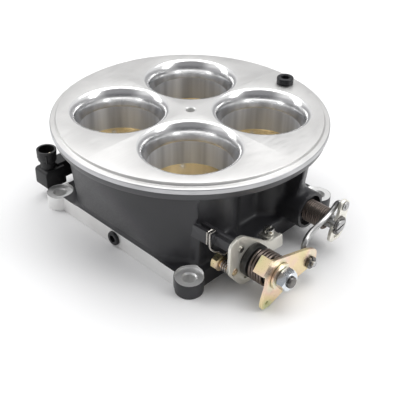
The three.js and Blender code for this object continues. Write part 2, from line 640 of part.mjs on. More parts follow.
// ---- Link rod and secondary lever ---------------------------------------------------------
const rodPoints = [
  [119.4, ...ROD_LOW], [114, ...ROD_LOW], [110.6, ROD_LOW[0], ROD_LOW[1] + 0.8],
  [109, -3, 20], [107.4, 1, 25.4], [105.6, 9, 27], [104, 20, 26.6], [103.4, 30, 28.4],
  [103.4, 36, 31.4], [103.4, 38.6, 33.3], [104.2, ...ROD_HIGH], [ROD_END_X, ...ROD_HIGH],
];
place('link_rod', wire(rodPoints, ROD_R, 34, 8), steel, rod);
place('link_rod_clip',
  ringX(LINK_FACE_X + GAP, LINK_FACE_X + 2, ...ROD_LOW, ROD_R + GAP, 4.3, 16), darkSteel, rod);

function secondaryLever() {
  const outline = [
    [27, 17.5, 4], [27, 9, 4], [40, 8.5, 5], [43.5, 17, 3.5], [44, 26, 3], [45.9, 35, 2.9],
    [41.5, 39.4, 2.9], [35.6, 38, 2.6], [34.5, 29, 3],
  ];
  const plate = plateX(outline, SECONDARY_LEVER_X, SECONDARY_LEVER_X + SECONDARY_LEVER_THICK);
  const holes = [
    roundX(100, 120, SECONDARY_Y, SHAFT_Z, SHAFT_R + GAP),
    roundX(100, 120, ...ROD_HIGH, ROD_R + 0.7, 16),
    block([100, 31.5, 11.2], [120, 37.5, 13.4]),
  ];
  return plate.subtract(joined(holes));
}

const CLIP_X = SECONDARY_LEVER_X + SECONDARY_LEVER_THICK;
place('secondary_lever', secondaryLever(), brightZinc, secondary);
place('secondary_lever_clip',
  ringX(CLIP_X + GAP, CLIP_X + 1.3, SECONDARY_Y, SHAFT_Z, SHAFT_R + GAP, 6.8, 20),
  darkSteel, secondary);

// The rod's last millimetres, in the lever's hole. They turn with the lever, because the
// linkage is opened just behind it.
const pinSmall = roundX(ROD_END_X + 0.4, CLIP_X + 2, ...ROD_HIGH, ROD_R, 16);
const pinClip = roundX(CLIP_X + GAP, CLIP_X + 1.2, ...ROD_HIGH, 3.5, 16);
place('rod_end_pin', pinSmall.add(pinClip), steel, secondary);

export default group;
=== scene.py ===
# %% [markdown]
# # A square-flange throttle body, piece by piece
# The frame comes first: every CAD node with its place, its body and its joints. Each cell below
# then models one visible piece over its node, finishes it, and hangs it on the body it moves with.

import json
import math

import bpy
from mathutils import Matrix, Vector


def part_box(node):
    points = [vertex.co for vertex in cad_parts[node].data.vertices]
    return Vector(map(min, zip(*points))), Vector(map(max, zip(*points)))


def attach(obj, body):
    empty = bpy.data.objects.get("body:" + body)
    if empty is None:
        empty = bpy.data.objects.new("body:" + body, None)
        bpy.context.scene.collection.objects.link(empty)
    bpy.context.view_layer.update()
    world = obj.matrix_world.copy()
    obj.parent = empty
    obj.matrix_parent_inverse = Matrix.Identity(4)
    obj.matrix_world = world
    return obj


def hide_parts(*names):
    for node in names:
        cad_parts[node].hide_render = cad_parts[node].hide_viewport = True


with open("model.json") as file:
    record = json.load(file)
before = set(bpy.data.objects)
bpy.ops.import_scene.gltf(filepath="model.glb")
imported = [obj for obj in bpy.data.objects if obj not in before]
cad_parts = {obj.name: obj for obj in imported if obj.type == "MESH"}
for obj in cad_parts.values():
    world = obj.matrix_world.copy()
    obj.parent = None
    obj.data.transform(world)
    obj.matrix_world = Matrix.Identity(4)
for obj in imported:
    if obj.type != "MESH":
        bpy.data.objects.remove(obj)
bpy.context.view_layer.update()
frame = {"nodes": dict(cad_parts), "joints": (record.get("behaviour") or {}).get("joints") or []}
MM = 0.001

# %% [markdown]
# The shafts' lines and the main heights are read from the frame, so that a piece lands on its
# node. Sizes that only the casting's drawing knows are named here once, in millimetres.

# %% Main dimensions
joint_at = {j["name"]: [c / MM for c in j["pos_m"]] for j in frame["joints"]}
PRIMARY_Y, SHAFT_Z = joint_at["primary_throttle"][1:]
SECONDARY_Y = joint_at["secondary_throttle"][1]
ON_PRIMARY = (PRIMARY_Y, SHAFT_Z)
ON_SECONDARY = (SECONDARY_Y, SHAFT_Z)
ROD_LOW = joint_at["link_rod_pivot"][1:]


def low(node):
    return [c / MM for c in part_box(node)[0]]


def high(node):
    return [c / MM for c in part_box(node)[1]]


def ends(node):
    """Where a node starts and ends along X."""
    return low(node)[0], high(node)[0]


TOP_Z = high("main_body")[2]
RIM_R = high("main_body")[1]
BORE_OFFSET = SECONDARY_Y
BORE_R = 28.6
LIP_WIDTH = 6.3
LIP_DEPTH = 16.5
NECK_R = 92.87
NECK_STEP = 2.4
BAND_Z = 75          # the coat ends here, and the machined head begins
EAR_OFFSET = 68.26
EAR_R = 9.7
EAR_TOP_Z = 10.6
FLANGE_HALF = 72.3
FLANGE_TOP_Z = 12.5
SHAFT_R = 4.75
STUD_R = 3.95
CLOSED = math.radians(12)
GAP = 0.3
print("top at", round(TOP_Z, 2), "rim radius", round(RIM_R, 2), "shafts at y", PRIMARY_Y, SECONDARY_Y)

# %% [markdown]
# ## Shop tools
# Small helpers keep each later cell short. A primitive is always added with nothing else
# selected, its place is applied at once, and a boolean's tool is thrown away after the cut.

# %% Selecting and placing
def clear_selection():
    if bpy.context.mode != "OBJECT":
        bpy.ops.object.mode_set(mode="OBJECT")
    bpy.ops.object.select_all(action="DESELECT")


def pick(piece):
    clear_selection()
    bpy.context.view_layer.objects.active = piece
    piece.select_set(True)


def set_in_place(piece):
    pick(piece)
    bpy.ops.object.transform_apply(location=True, rotation=True, scale=True)
    return piece


# %% Round bars, cones and blocks
TURN_TO = {"X": (0, math.pi / 2, 0), "Y": (-math.pi / 2, 0, 0), "Z": (0, 0, 0)}


def bar(axis, start, end, across, r, r_end=None, sides=96):
    """A round bar along one axis, from start to end; across holds its other two coordinates."""
    middle = (start + end) / 2
    a, b = across
    at = {"X": (middle, a, b), "Y": (a, middle, b), "Z": (a, b, middle)}[axis]
    clear_selection()
    bpy.ops.mesh.primitive_cone_add(
        vertices=sides, radius1=r * MM, radius2=(r if r_end is None else r_end) * MM,
        depth=(end - start) * MM, location=Vector(at) * MM, rotation=TURN_TO[axis])
    return set_in_place(bpy.context.object)


def block(corner_low, corner_high):
    lo, hi = Vector(corner_low) * MM, Vector(corner_high) * MM
    clear_selection()
    bpy.ops.mesh.primitive_cube_add(size=1, location=(lo + hi) / 2)
    piece = bpy.context.object
    piece.scale = hi - lo
    return set_in_place(piece)


# %% [markdown]
# A profile is drawn the way one draws it by hand: one vertex, extruded from point to point.
# Spinning that line gives a turned part; filling it and extruding the face gives a plate.

# %% Drawn lines, turned parts and plates
def drawn(points):
    """One vertex, extruded from point to point. The object is left in edit mode, all selected."""
    spots = [Vector(p) * MM for p in points]
    clear_selection()
    bpy.ops.mesh.primitive_plane_add(size=MM, location=spots[0])
    set_in_place(bpy.context.object)
    bpy.ops.object.mode_set(mode="EDIT")
    bpy.ops.mesh.select_all(action="SELECT")
    bpy.ops.mesh.merge(type="CENTER")
    for here, there in zip(spots, spots[1:]):
        bpy.ops.mesh.extrude_vertices_move(TRANSFORM_OT_translate={"value": there - here})
    bpy.ops.mesh.select_all(action="SELECT")
    return bpy.context.object


def close_shell():
    bpy.ops.mesh.select_all(action="SELECT")
    bpy.ops.mesh.remove_doubles(threshold=1e-6)
    bpy.ops.mesh.normals_make_consistent(inside=False)
    bpy.ops.object.mode_set(mode="OBJECT")


def turned(profile, steps=192, centre=(0, 0)):
    """A solid of revolution about a line along Z, from [radius, height] points on its axis."""
    cx, cy = centre
    piece = drawn([(cx + r, cy, z) for r, z in profile])
    bpy.ops.mesh.spin(steps=steps, angle=2 * math.pi, center=(cx * MM, cy * MM, 0), axis=(0, 0, 1))
    close_shell()
    return piece


def rounded(corners, steps=8):
    """Points of a closed outline whose corners [y, z, cut] are rounded off."""
    points = []
    for i, (y, z, cut) in enumerate(corners):
        here = Vector((y, z))
        before, after = Vector(corners[i - 1][:2]), Vector(corners[(i + 1) % len(corners)][:2])
        if not cut:
            points.append(here)
            continue
        start = here + (before - here).normalized() * cut
        end = here + (after - here).normalized() * cut
        for k in range(steps + 1):
            t = k / steps
            points.append(start * (1 - t) ** 2 + here * (2 * t * (1 - t)) + end * t ** 2)
    return points


def plate(corners, x_low, x_high, steps=8):
    """A plate square to X with a rounded outline."""
    piece = drawn([(x_low, p.x, p.y) for p in rounded(corners, steps)])
    bpy.ops.mesh.edge_face_add()
    bpy.ops.mesh.extrude_region_move(TRANSFORM_OT_translate={"value": ((x_high - x_low) * MM, 0, 0)})
    close_shell()
    return piece


# %% [markdown]
# Cuts and joins are boolean modifiers, applied at once. A tool's own material stays on the face
# that it cuts, as a cutter leaves bare metal on a painted casting.

# %% Joining, cutting and rounding edges
def boolean(piece, tools, operation):
    for tool in tools:
        step = piece.modifiers.new("cut", "BOOLEAN")
        step.operation = operation
        step.solver = "MANIFOLD"
        step.material_mode = "TRANSFER"
        step.object = tool
        pick(piece)
        bpy.ops.object.modifier_apply(modifier=step.name)
        bpy.data.objects.remove(tool)
    return piece


def join(piece, *tools):
    return boolean(piece, tools, "UNION")


def cut(piece, *tools):
    return boolean(piece, tools, "DIFFERENCE")


def common(piece, *tools):
    return boolean(piece, tools, "INTERSECT")


def soften(piece, width, segments=2, angle=32):
    step = piece.modifiers.new("edges", "BEVEL")
    step.width = width * MM
    step.segments = segments
    step.limit_method = "ANGLE"
    step.angle_limit = math.radians(angle)
    step.harden_normals = False
    pick(piece)
    bpy.ops.object.modifier_apply(modifier=step.name)
    return piece


def tilt(piece, angle, y, z=SHAFT_Z):
    """Turns a piece about a shaft's line."""
    about = Matrix.Translation(Vector((0, y, z)) * MM)
    piece.matrix_world = about @ Matrix.Rotation(angle, 4, "X") @ about.inverted() @ piece.matrix_world
    return set_in_place(piece)


# %% [markdown]
# Wires and rods are curves with a round section, made a mesh at the end.

# %% Wires
def smooth_path(points, per_span=8):
    """Points along a smooth curve through the given ones."""
    spots = [Vector(p) for p in points]
    path = []
    for i in range(len(spots) - 1):
        p0, p1 = spots[max(i - 1, 0)], spots[i]
        p2, p3 = spots[i + 1], spots[min(i + 2, len(spots) - 1)]
        for k in range(per_span):
            t = k / per_span
            path.append(0.5 * (2 * p1 + (p2 - p0) * t + (2 * p0 - 5 * p1 + 4 * p2 - p3) * t ** 2
                               + (3 * p1 - p0 - 3 * p2 + p3) * t ** 3))
    return path + [spots[-1]]


def wire(path, r, resolution=3):
    curve = bpy.data.curves.new("wire", "CURVE")
    curve.dimensions = "3D"
    curve.bevel_depth = r * MM
    curve.bevel_resolution = resolution
    curve.use_fill_caps = True
    spline = curve.splines.new("POLY")
    spline.points.add(len(path) - 1)
    for spot, p in zip(spline.points, path):
        spot.co = (p[0] * MM, p[1] * MM, p[2] * MM, 1)
    piece = bpy.data.objects.new("wire", curve)
    bpy.context.scene.collection.objects.link(piece)
    pick(piece)
    bpy.ops.object.convert(target="MESH")
    bpy.ops.object.mode_set(mode="EDIT")
    close_shell()
    return bpy.context.object


def coil(x, y, z, radius, turns, pitch, start=0.0, per_turn=36):
    path = []
    for i in range(int(turns * per_turn) + 1):
        turn = 2 * math.pi * (i / per_turn + start)
        path.append((x + pitch * i / per_turn, y + radius * math.cos(turn), z + radius * math.sin(turn)))
    return path


# %% [markdown]
# Every piece ends the same way: it gets its finish, smooth shading up to its real edges, a name,
# and the body that carries it, and the node that it stands for is hidden.

# %% Handing a piece over
def hand_over(piece, name, body, material=None, nodes=None, smooth=35):
    piece.name = piece.data.name = name
    if material:
        piece.data.materials.clear()
        piece.data.materials.append(material)
    pick(piece)
    bpy.ops.object.shade_smooth_by_angle(angle=math.radians(smooth))
    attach(piece, body)
    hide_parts(*(nodes or [name.removesuffix("_fine")]))
    print(name, len(piece.data.polygons), "faces on", body)


# %% [markdown]
# ## Finishes
# Each finish is a small node graph on Object coordinates: a base colour, a little slow variation,
# and the fine scratches, orange peel or turning marks that catch the light.

# %% A graph builder
def start_finish(name):
    material = bpy.data.materials.new(name)
    material.use_nodes = True
    shader = material.node_tree.nodes["Principled BSDF"]
    return material, material.node_tree, shader


def add(tree, kind, **values):
    node = tree.nodes.new(kind)
    for key, value in values.items():
        if key in node.inputs:
            node.inputs[key].default_value = value
        else:
            setattr(node, key, value)
    return node


def noise_over(tree, scale, stretch=(1, 1, 1), detail=3, roughness=0.5):
    """Noise on the piece's own coordinates; scale counts features per metre."""
    place = add(tree, "ShaderNodeTexCoord")
    mapping = add(tree, "ShaderNodeMapping")
    mapping.inputs["Scale"].default_value = stretch
    noise = add(tree, "ShaderNodeTexNoise", Scale=scale, Detail=detail, Roughness=roughness)
    tree.links.new(place.outputs["Object"], mapping.inputs["Vector"])
    tree.links.new(mapping.outputs["Vector"], noise.inputs["Vector"])
    return noise.outputs["Fac"]


def shades(tree, factor, stops):
    ramp = add(tree, "ShaderNodeValToRGB")
    for element, (spot, colour) in zip(ramp.color_ramp.elements, (stops[0], stops[-1])):
        element.position, element.color = spot, (*colour, 1)
    for spot, colour in stops[1:-1]:
        ramp.color_ramp.elements.new(spot).color = (*colour, 1)
    tree.links.new(factor, ramp.inputs["Fac"])
    return ramp.outputs["Color"]


def span(tree, factor, lowest, highest):
    """Spreads a noise's middle range over the values from lowest to highest."""
    ranged = add(tree, "ShaderNodeMapRange",
                 **{"From Min": 0.3, "From Max": 0.7, "To Min": lowest, "To Max": highest})
    tree.links.new(factor, ranged.inputs["Value"])
    return ranged.outputs["Result"]


def raise_surface(tree, shader, factor, strength, depth):
    bump = add(tree, "ShaderNodeBump", Strength=strength, Distance=depth)
    tree.links.new(factor, bump.inputs["Height"])
    tree.links.new(bump.outputs["Normal"], shader.inputs["Normal"])


# %% [markdown]
# A metal finish is one recipe with different numbers: how bright, how rough, how its scratches
# run, and how deep they are.

# %% Metals
def metal(name, dark, light, rough, scratch_scale=900, stretch=(1, 1, 1), depth=0.00002, strength=0.15,
          metallic=1.0):
    material, tree, shader = start_finish(name)
    shader.inputs["Metallic"].default_value = metallic
    slow = noise_over(tree, 35, detail=2)
    tree.links.new(shades(tree, slow, [(0.35, dark), (0.65, light)]), shader.inputs["Base Color"])
    fine = noise_over(tree, scratch_scale, stretch)
    tree.links.new(span(tree, fine, rough[0], rough[1]), shader.inputs["Roughness"])
    raise_surface(tree, shader, fine, strength, depth)
    return material


TOP_FACE = metal("machined_top", (0.66, 0.655, 0.645), (0.72, 0.715, 0.705), (0.36, 0.5), 700,
                 (1, 0.12, 1))
POLISHED = metal("polished_lip", (0.84, 0.84, 0.84), (0.9, 0.9, 0.9), (0.15, 0.22), 400)
# The head's outer wall: its turning marks are real, and its colour, darker than the top's, is painted
# shade.
SHADED_TURNED_SIDE = metal("turned_side_painted_shade", (0.40, 0.40, 0.41), (0.52, 0.52, 0.53), (0.3, 0.42), 700,
                    (0.1, 0.1, 4))
BRIGHT_EDGE = metal("machined_edge", (0.82, 0.81, 0.80), (0.90, 0.90, 0.89), (0.34, 0.46), 900,
                    (0.1, 0.1, 1), metallic=0.7)
SPOT_FACE = metal("spot_face", (0.80, 0.80, 0.79), (0.92, 0.92, 0.91), (0.30, 0.44), 500, strength=0.06,
                  metallic=0.6)
BRIGHT_ZINC = metal("bright_zinc", (0.88, 0.86, 0.78), (0.93, 0.91, 0.84), (0.34, 0.42), 1200,
                    strength=0.03, metallic=0.7)
NUT_ZINC = metal("blue_zinc", (0.66, 0.72, 0.78), (0.8, 0.83, 0.86), (0.16, 0.26), 1200, strength=0.05)
SCREW_STEEL = metal("screw_steel", (0.55, 0.54, 0.5), (0.7, 0.69, 0.66), (0.22, 0.34), 1500)
BRIGHT_STEEL = metal("bright_steel", (0.42, 0.42, 0.42), (0.55, 0.55, 0.54), (0.26, 0.36), 1500,
                     (0.1, 1, 1))
DARK_STEEL = metal("dark_steel", (0.13, 0.125, 0.12), (0.22, 0.21, 0.2), (0.28, 0.4), 1500)
SPRING_STEEL = metal("spring_wire", (0.36, 0.34, 0.31), (0.5, 0.48, 0.45), (0.2, 0.3), 1500)
BRONZE_WIRE = metal("tempered_wire", (0.15, 0.12, 0.105), (0.25, 0.21, 0.185), (0.3, 0.42), 1500)
BRASS = metal("blade_brass", (0.76, 0.57, 0.27), (0.86, 0.67, 0.36), (0.3, 0.42), 900, (1, 0.15, 1),
              metallic=0.5)
TINNED = metal("tinned_terminal", (0.7, 0.6, 0.42), (0.8, 0.72, 0.55), (0.25, 0.35))


# %% [markdown]
# Yellow chromate drifts from straw to pink and green over a plate, so its colour ramp has
# several stops along a slow noise.

# %% Yellow chromate
def yellow_chromate():
    material, tree, shader = start_finish("yellow_chromate")
    shader.inputs["Metallic"].default_value = 1
    drift = noise_over(tree, 55, detail=1)
    tree.links.new(shades(tree, drift, [
        (0.3, (0.70, 0.72, 0.42)), (0.42, (0.88, 0.76, 0.44)), (0.52, (0.93, 0.76, 0.48)),
        (0.62, (0.92, 0.70, 0.56)), (0.72, (0.84, 0.78, 0.60))]), shader.inputs["Base Color"])
    fine = noise_over(tree, 1200)
    tree.links.new(span(tree, fine, 0.26, 0.36), shader.inputs["Roughness"])
    raise_surface(tree, shader, fine, 0.08, 0.00002)
    return material


YELLOW_ZINC = yellow_chromate()


# %% [markdown]
# The casting's black coat has a fine orange peel. The rim's band and the lug, which stay crisp, have a
# shinier coat whose lighter colour is painted light, so that their edges stand out. The sensor's plastic
# is coarser and duller.

# %% Black coat, plastics and rubber
def coating(name, dark, light, rough, grain, depth, strength=0.35, metallic=0.0):
    material, tree, shader = start_finish(name)
    shader.inputs["Metallic"].default_value = metallic
    slow = noise_over(tree, 25, detail=2)
    tree.links.new(shades(tree, slow, [(0.35, dark), (0.65, light)]), shader.inputs["Base Color"])
    peel = noise_over(tree, grain, detail=4)
    tree.links.new(span(tree, peel, rough[0], rough[1]), shader.inputs["Roughness"])
    raise_surface(tree, shader, peel, strength, depth)
    return material


BLACK_COAT = coating("black_coat", (0.024, 0.024, 0.027), (0.038, 0.038, 0.042), (0.34, 0.46), 900,
                     0.00006)
# The same black coat, shinier, with a lighter colour that is painted light on the band and the lug.
PAINTED_LIGHTER_COAT = coating("coat_painted_lighter", (0.045, 0.045, 0.049), (0.06, 0.06, 0.065), (0.28, 0.38), 900, 0.00004)
SENSOR_PLASTIC = coating("sensor_plastic", (0.01, 0.01, 0.011), (0.022, 0.022, 0.023), (0.42, 0.58),
                         1600, 0.0001)
BUSH_PLASTIC = coating("bush_plastic", (0.012, 0.012, 0.012), (0.03, 0.028, 0.025), (0.35, 0.5), 1400,
                       0.00006)
SEAL_RUBBER = coating("seal_rubber", (0.008, 0.008, 0.008), (0.015, 0.015, 0.015), (0.6, 0.75), 1800,
                      0.00005)
BLACK_OXIDE = coating("black_oxide", (0.02, 0.02, 0.022), (0.035, 0.035, 0.038), (0.25, 0.4), 1500,
                      0.00003, 0.2, 0.6)


# %% [markdown]
# A bored wall has fine rings, which smear a reflection up and down; the shader's tangent along Z
# does that, and noise squeezed along Z adds the coarser rings. Long upright light and dark streaks
# in its colour are painted reflections. The honed part below is smoother, so the brass blades show in it.

# %% Bored aluminium
def bored(name, dark, light, rough, grain, metallic):
    material, tree, shader = start_finish(name)
    shader.inputs["Metallic"].default_value = metallic
    # Upright light and dark streaks in the base colour are painted reflections.
    painted_reflection_streaks = noise_over(tree, 95, (1, 1, 0.05), detail=3)
    tree.links.new(shades(tree, painted_reflection_streaks, [(0.36, dark), (0.66, light)]), shader.inputs["Base Color"])
    rings = noise_over(tree, 220, (0.12, 0.12, 6), detail=3)
    tree.links.new(span(tree, rings, rough[0], rough[1]), shader.inputs["Roughness"])
    raise_surface(tree, shader, rings, 0.15, 0.00003)
    upwards = add(tree, "ShaderNodeCombineXYZ", Z=1.0)
    tree.links.new(upwards.outputs["Vector"], shader.inputs["Tangent"])
    shader.inputs["Anisotropic"].default_value = grain
    return material


BORED = bored("bored_wall", (0.38, 0.39, 0.42), (0.68, 0.70, 0.74), (0.42, 0.52), 0.3, 0.55)
HONED = bored("honed_wall", (0.70, 0.69, 0.68), (0.85, 0.84, 0.83), (0.10, 0.16), 0.0, 1.0)
print(len(bpy.data.materials), "finishes")

# %% [markdown]
# ## The casting
# The real body is cast, coated black, and then machined: its head is turned, its bores are bored
# and rolled over into polished bell-mouths, and the flange's edge and bolt seats are faced. It is
# modelled in the same order. The rough casting is joined from simple solids and remeshed, which
# melts its inner corners into soft cast fillets, and every machined face is cut afterwards.

# %% Melting edges
def melt_edges(piece, voxel, rounds):
    """Give a piece an even skin of small faces, then smooth it."""
    skin = piece.modifiers.new("skin", "REMESH")
    skin.mode = "VOXEL"
    skin.voxel_size = voxel * MM
    melt = piece.modifiers.new("melt", "SMOOTH")
    melt.factor = 0.5
    melt.iterations = rounds
    pick(piece)
    for name in (skin.name, melt.name):
        bpy.ops.object.modifier_apply(modifier=name)
    return piece


def faced(tool, material):
    """Give a boolean's tool one finish, which stays on the faces that it cuts or adds."""
    tool.data.materials.clear()
    tool.data.materials.append(material)
    return tool


# %% Sizes of the casting
WALL_R = (82, 88.3)          # the turned wall leans out between the two heights below
WALL_Z = (9, 69)
WALL_ENDS_Z = (-6, 74)       # its low end is faced off, and its high end is inside the rim
WALL_HALF = (70.5, 89.5)     # flats on its four sides fade out upwards
FLATS_TOP_Z = 66
BARREL_R = 33
RECESS = ((50, -57, FLANGE_TOP_Z + 2), (110, 27, 68))
RECESS_KEPT = ((0, -20, 0), (56, 20, TOP_Z))    # the wall between the two barrels
MACHINING = 1                # extra metal that the facing cuts take off
LOW_Z = -2                   # the rough flange starts below the manifold face
BOSS_R = 8.7
BOSS_END_X = 79
CUP_R = 14
CUP_INNER_R = 11.4
CUP_FLOOR_X = 80
CUP_END_X = 85
CUP_AT = (35.5, 20.5)
STOP_PAD = ((66, -14, 4), (87.5, -6, 12.7))
LUG_ROOT = (50, -57.6, 46.8)
LUG_YAW, LUG_DROP = 12.3, 9.7
LUG_LENGTH = 38.4
LUG_HALF_WIDTH = 4
LUG_HEIGHT = 10
LUG_GROOVE_HALF = 1.6
LUG_GROOVE_DEPTH = 2.5
LUG_GROOVE_AT = 8
LUG_STEP_AT = 27             # beyond here only the lug's inner wall goes on
SENSOR_PAD_X = -79.8
SENSOR_PAD = [(-45, 0.2, 5), (-25, 0.2, 5), (-25, 42, 6), (-45, 42, 6)]
bores = [(i * BORE_OFFSET, j * BORE_OFFSET) for i in (-1, 1) for j in (-1, 1)]
ears = [(i * EAR_OFFSET, j * EAR_OFFSET) for i in (-1, 1) for j in (-1, 1)]
print(len(bores), "bores at", BORE_OFFSET, "and", len(ears), "ears at", EAR_OFFSET)

# %% [markdown]
# The rough casting starts as a turned wall that leans outwards, with four flats that fade out
# upwards. The flange and its ears are joined on, and the right side is cut back to its barrels.

# %% Rough casting
wall = turned([(0, WALL_ENDS_Z[0]), (WALL_R[0], WALL_ENDS_Z[0]), (WALL_R[0], WALL_Z[0]),
               (WALL_R[1], WALL_Z[1]), (WALL_R[1], WALL_ENDS_Z[1]), (0, WALL_ENDS_Z[1])], 128)
clear_selection()
flats_low, flats_high = FLANGE_TOP_Z - 3, FLATS_TOP_Z
bpy.ops.mesh.primitive_cone_add(
    vertices=4, radius1=WALL_HALF[0] * math.sqrt(2) * MM, radius2=WALL_HALF[1] * math.sqrt(2) * MM,
    depth=(flats_high - flats_low) * MM, location=(0, 0, (flats_low + flats_high) / 2 * MM),
    rotation=(0, 0, math.pi / 4))
flats = set_in_place(bpy.context.object)
join(flats, block((-110, -110, FLATS_TOP_Z - 0.05), (110, 110, TOP_Z + 10)),
     block((-WALL_HALF[0], -WALL_HALF[0], -8), (WALL_HALF[0], WALL_HALF[0], flats_low + 0.05)))
common(wall, flats)
melt_edges(wall, voxel=2.5, rounds=60)

flange = block((-FLANGE_HALF - MACHINING, -FLANGE_HALF - MACHINING, LOW_Z),
               (FLANGE_HALF, FLANGE_HALF, FLANGE_TOP_Z))
for at in ears:
    machined = MACHINING if at == ears[0] else 0
    join(flange, bar("Z", LOW_Z, FLANGE_TOP_Z, at, EAR_R + machined, sides=64))
casting = join(wall, flange)

recess = block(*RECESS)
cut(recess, *[bar("Z", 0, TOP_Z, (BORE_OFFSET, y), BARREL_R) for y in (PRIMARY_Y, SECONDARY_Y)],
    block(*RECESS_KEPT))
cut(casting, recess)
print("rough casting:", len(casting.data.polygons), "faces")

# %% [markdown]
# Bosses, the root of the lug for the spring's leg, the idle screw's pad and the sensor's pad are
# cast on. A web under the lug joins it to the flange.

# %% Bosses and lugs
def on_lug_line(piece):
    """Turn a piece drawn along X onto the lug's leaning centre line."""
    piece.matrix_world = (Matrix.Translation(Vector(LUG_ROOT) * MM)
                          @ Matrix.Rotation(math.radians(LUG_YAW), 4, "Z")
                          @ Matrix.Rotation(math.radians(LUG_DROP), 4, "Y"))
    return set_in_place(piece)


lug_web = plate([(-58, 12, 0), (-52, 12, 0), (-52, 37, 0), (-58, 37, 0)], 50, 66)
sensor_pad = plate(SENSOR_PAD, SENSOR_PAD_X - 1, -64)
join(casting,
     bar("X", 40, BOSS_END_X + 1, ON_PRIMARY, BOSS_R),
     bar("X", 50, CUP_END_X + 1, CUP_AT, CUP_R),
     on_lug_line(block((0, -3.4, -9.4), (22, 3.4, -3))), lug_web, block(*STOP_PAD), sensor_pad,
     bar("X", -80, -60, ON_SECONDARY, 10))
print("with bosses:", len(casting.data.polygons), "faces")

# %% [markdown]
# A voxel remesh turns the joined blocks into an even skin, and a few rounds of smoothing round
# every inside corner, as sand does. The lug and the rim's black band keep crisp edges, so they
# are joined on afterwards.

# %% Cast skin
melt_edges(casting, voxel=1.5, rounds=7)
faced(casting, BLACK_COAT)
lug = block((0, -LUG_HALF_WIDTH, -LUG_HEIGHT), (LUG_LENGTH, LUG_HALF_WIDTH, 0))
cut(lug, block((LUG_GROOVE_AT, -LUG_GROOVE_HALF, -LUG_GROOVE_DEPTH), (LUG_LENGTH + 1, LUG_GROOVE_HALF, 1)),
    block((LUG_STEP_AT, -LUG_HALF_WIDTH - 1, -LUG_HEIGHT - 1), (LUG_LENGTH + 1, -0.6, 1)))
on_lug_line(soften(lug, 0.6, 3, 50))
band_low, band_high = 69.6, BAND_Z + 0.05
band = turned([(0, band_low), (RIM_R - 3, band_low), (RIM_R - 2, band_low + 0.4),
               (RIM_R - 1.4, band_low + 1.4), (RIM_R - 0.9, band_high - 0.45),
               (RIM_R - 1.2, band_high), (0, band_high)])
# The lug and the band get the coat painted lighter, as painted light.
join(casting, faced(lug, PAINTED_LIGHTER_COAT), faced(band, PAINTED_LIGHTER_COAT))
print("cast skin:", len(casting.data.polygons), "faces")

# %% [markdown]
# The head is a turned ring: top face, a hollow corner under the neck, the ledge that carries the
# air cleaner, and the bright outer wall. The outer wall's turning marks are real, and its darker
# grey is painted shade.

# %% Turned head
def arc(centre, radius, start, end, steps=6):
    """Points on an arc in the turning plane; angles in degrees."""
    return [(centre[0] + radius * math.cos(math.radians(start + (end - start) * k / steps)),
             centre[1] + radius * math.sin(math.radians(start + (end - start) * k / steps)))
            for k in range(steps + 1)]


ledge_z = TOP_Z - NECK_STEP
head = turned([(0, BAND_Z), (RIM_R - 0.3, BAND_Z), (RIM_R, BAND_Z + 0.3)]
              + arc((RIM_R - 0.7, ledge_z - 0.7), 0.7, 0, 90)
              + arc((NECK_R + 1.1, ledge_z + 1.1), 1.1, 270, 180)
              + arc((NECK_R - 0.45, TOP_Z - 0.45), 0.45, 0, 90) + [(0, TOP_Z)], 256)
head.data.materials.append(TOP_FACE)
head.data.materials.append(SHADED_TURNED_SIDE)
# Faces on the outer wall get the darker copy of the metal, as painted shade.
for face in head.data.polygons:
    if Vector(face.center[:2]).length > (RIM_R - 0.6) * MM:
        face.material_index = 1
join(casting, head)
print("with its head:", len(casting.data.polygons), "faces")


# %% [markdown]
# One bore cutter is turned with its bell-mouth, a quarter of an ellipse that runs out level with
# the top. Its own finishes, honed below, then bored, then polished, stay on the cut.

# %% Bores and bell-mouths
HONED_Z = 50         # up to here the bore is finished finer, where the blades close
POLISH_START = 2.5   # the polish begins this far up the bell-mouth


def bore_cutter(at):
    lip_low = TOP_Z - LIP_DEPTH
    steps = 16
    lip = [(BORE_R + LIP_WIDTH * (1 - math.cos(math.pi / 2 * k / steps)),
            lip_low + LIP_DEPTH * math.sin(math.pi / 2 * k / steps)) for k in range(steps + 1)]
    tool = turned([(0, -5), (BORE_R, -5), (BORE_R, HONED_Z), (BORE_R, lip_low - 0.4)] + lip
                  + [(BORE_R + LIP_WIDTH, TOP_Z + 5), (0, TOP_Z + 5)], 144, at)
    for finish in (HONED, BORED, POLISHED):
        tool.data.materials.append(finish)
    for face in tool.data.polygons:
        height = face.center.z / MM
        face.material_index = (height > HONED_Z) + (height > lip_low + POLISH_START)
    return tool


cut(casting, *[bore_cutter(at) for at in bores])
print("bored:", len(casting.data.polygons), "faces")


# %% [markdown]
# Facing cuts come next: the manifold face, the flange's bright front edge with the left ear, the
# sensor's pad, and the ends of the bosses. Above the flange the same cut leaves black coat.

# %% Facing cuts
OUTSIDE = 90                 # clear of the flange on every side
FRONT_EDGE_END_X = 59        # the front edge is faced from the left up to here
EAR_FACE_END_Y = -58.4       # and the left ear's side from the front up to here


def beyond_flange(x_high, y_high, z_low, z_high):
    """What lies outside the front edge or the left side, but not inside the front left ear."""
    tool = block((-OUTSIDE, -OUTSIDE, z_low), (x_high, y_high, z_high))
    return cut(tool, bar("Z", -10, 30, ears[0], EAR_R))


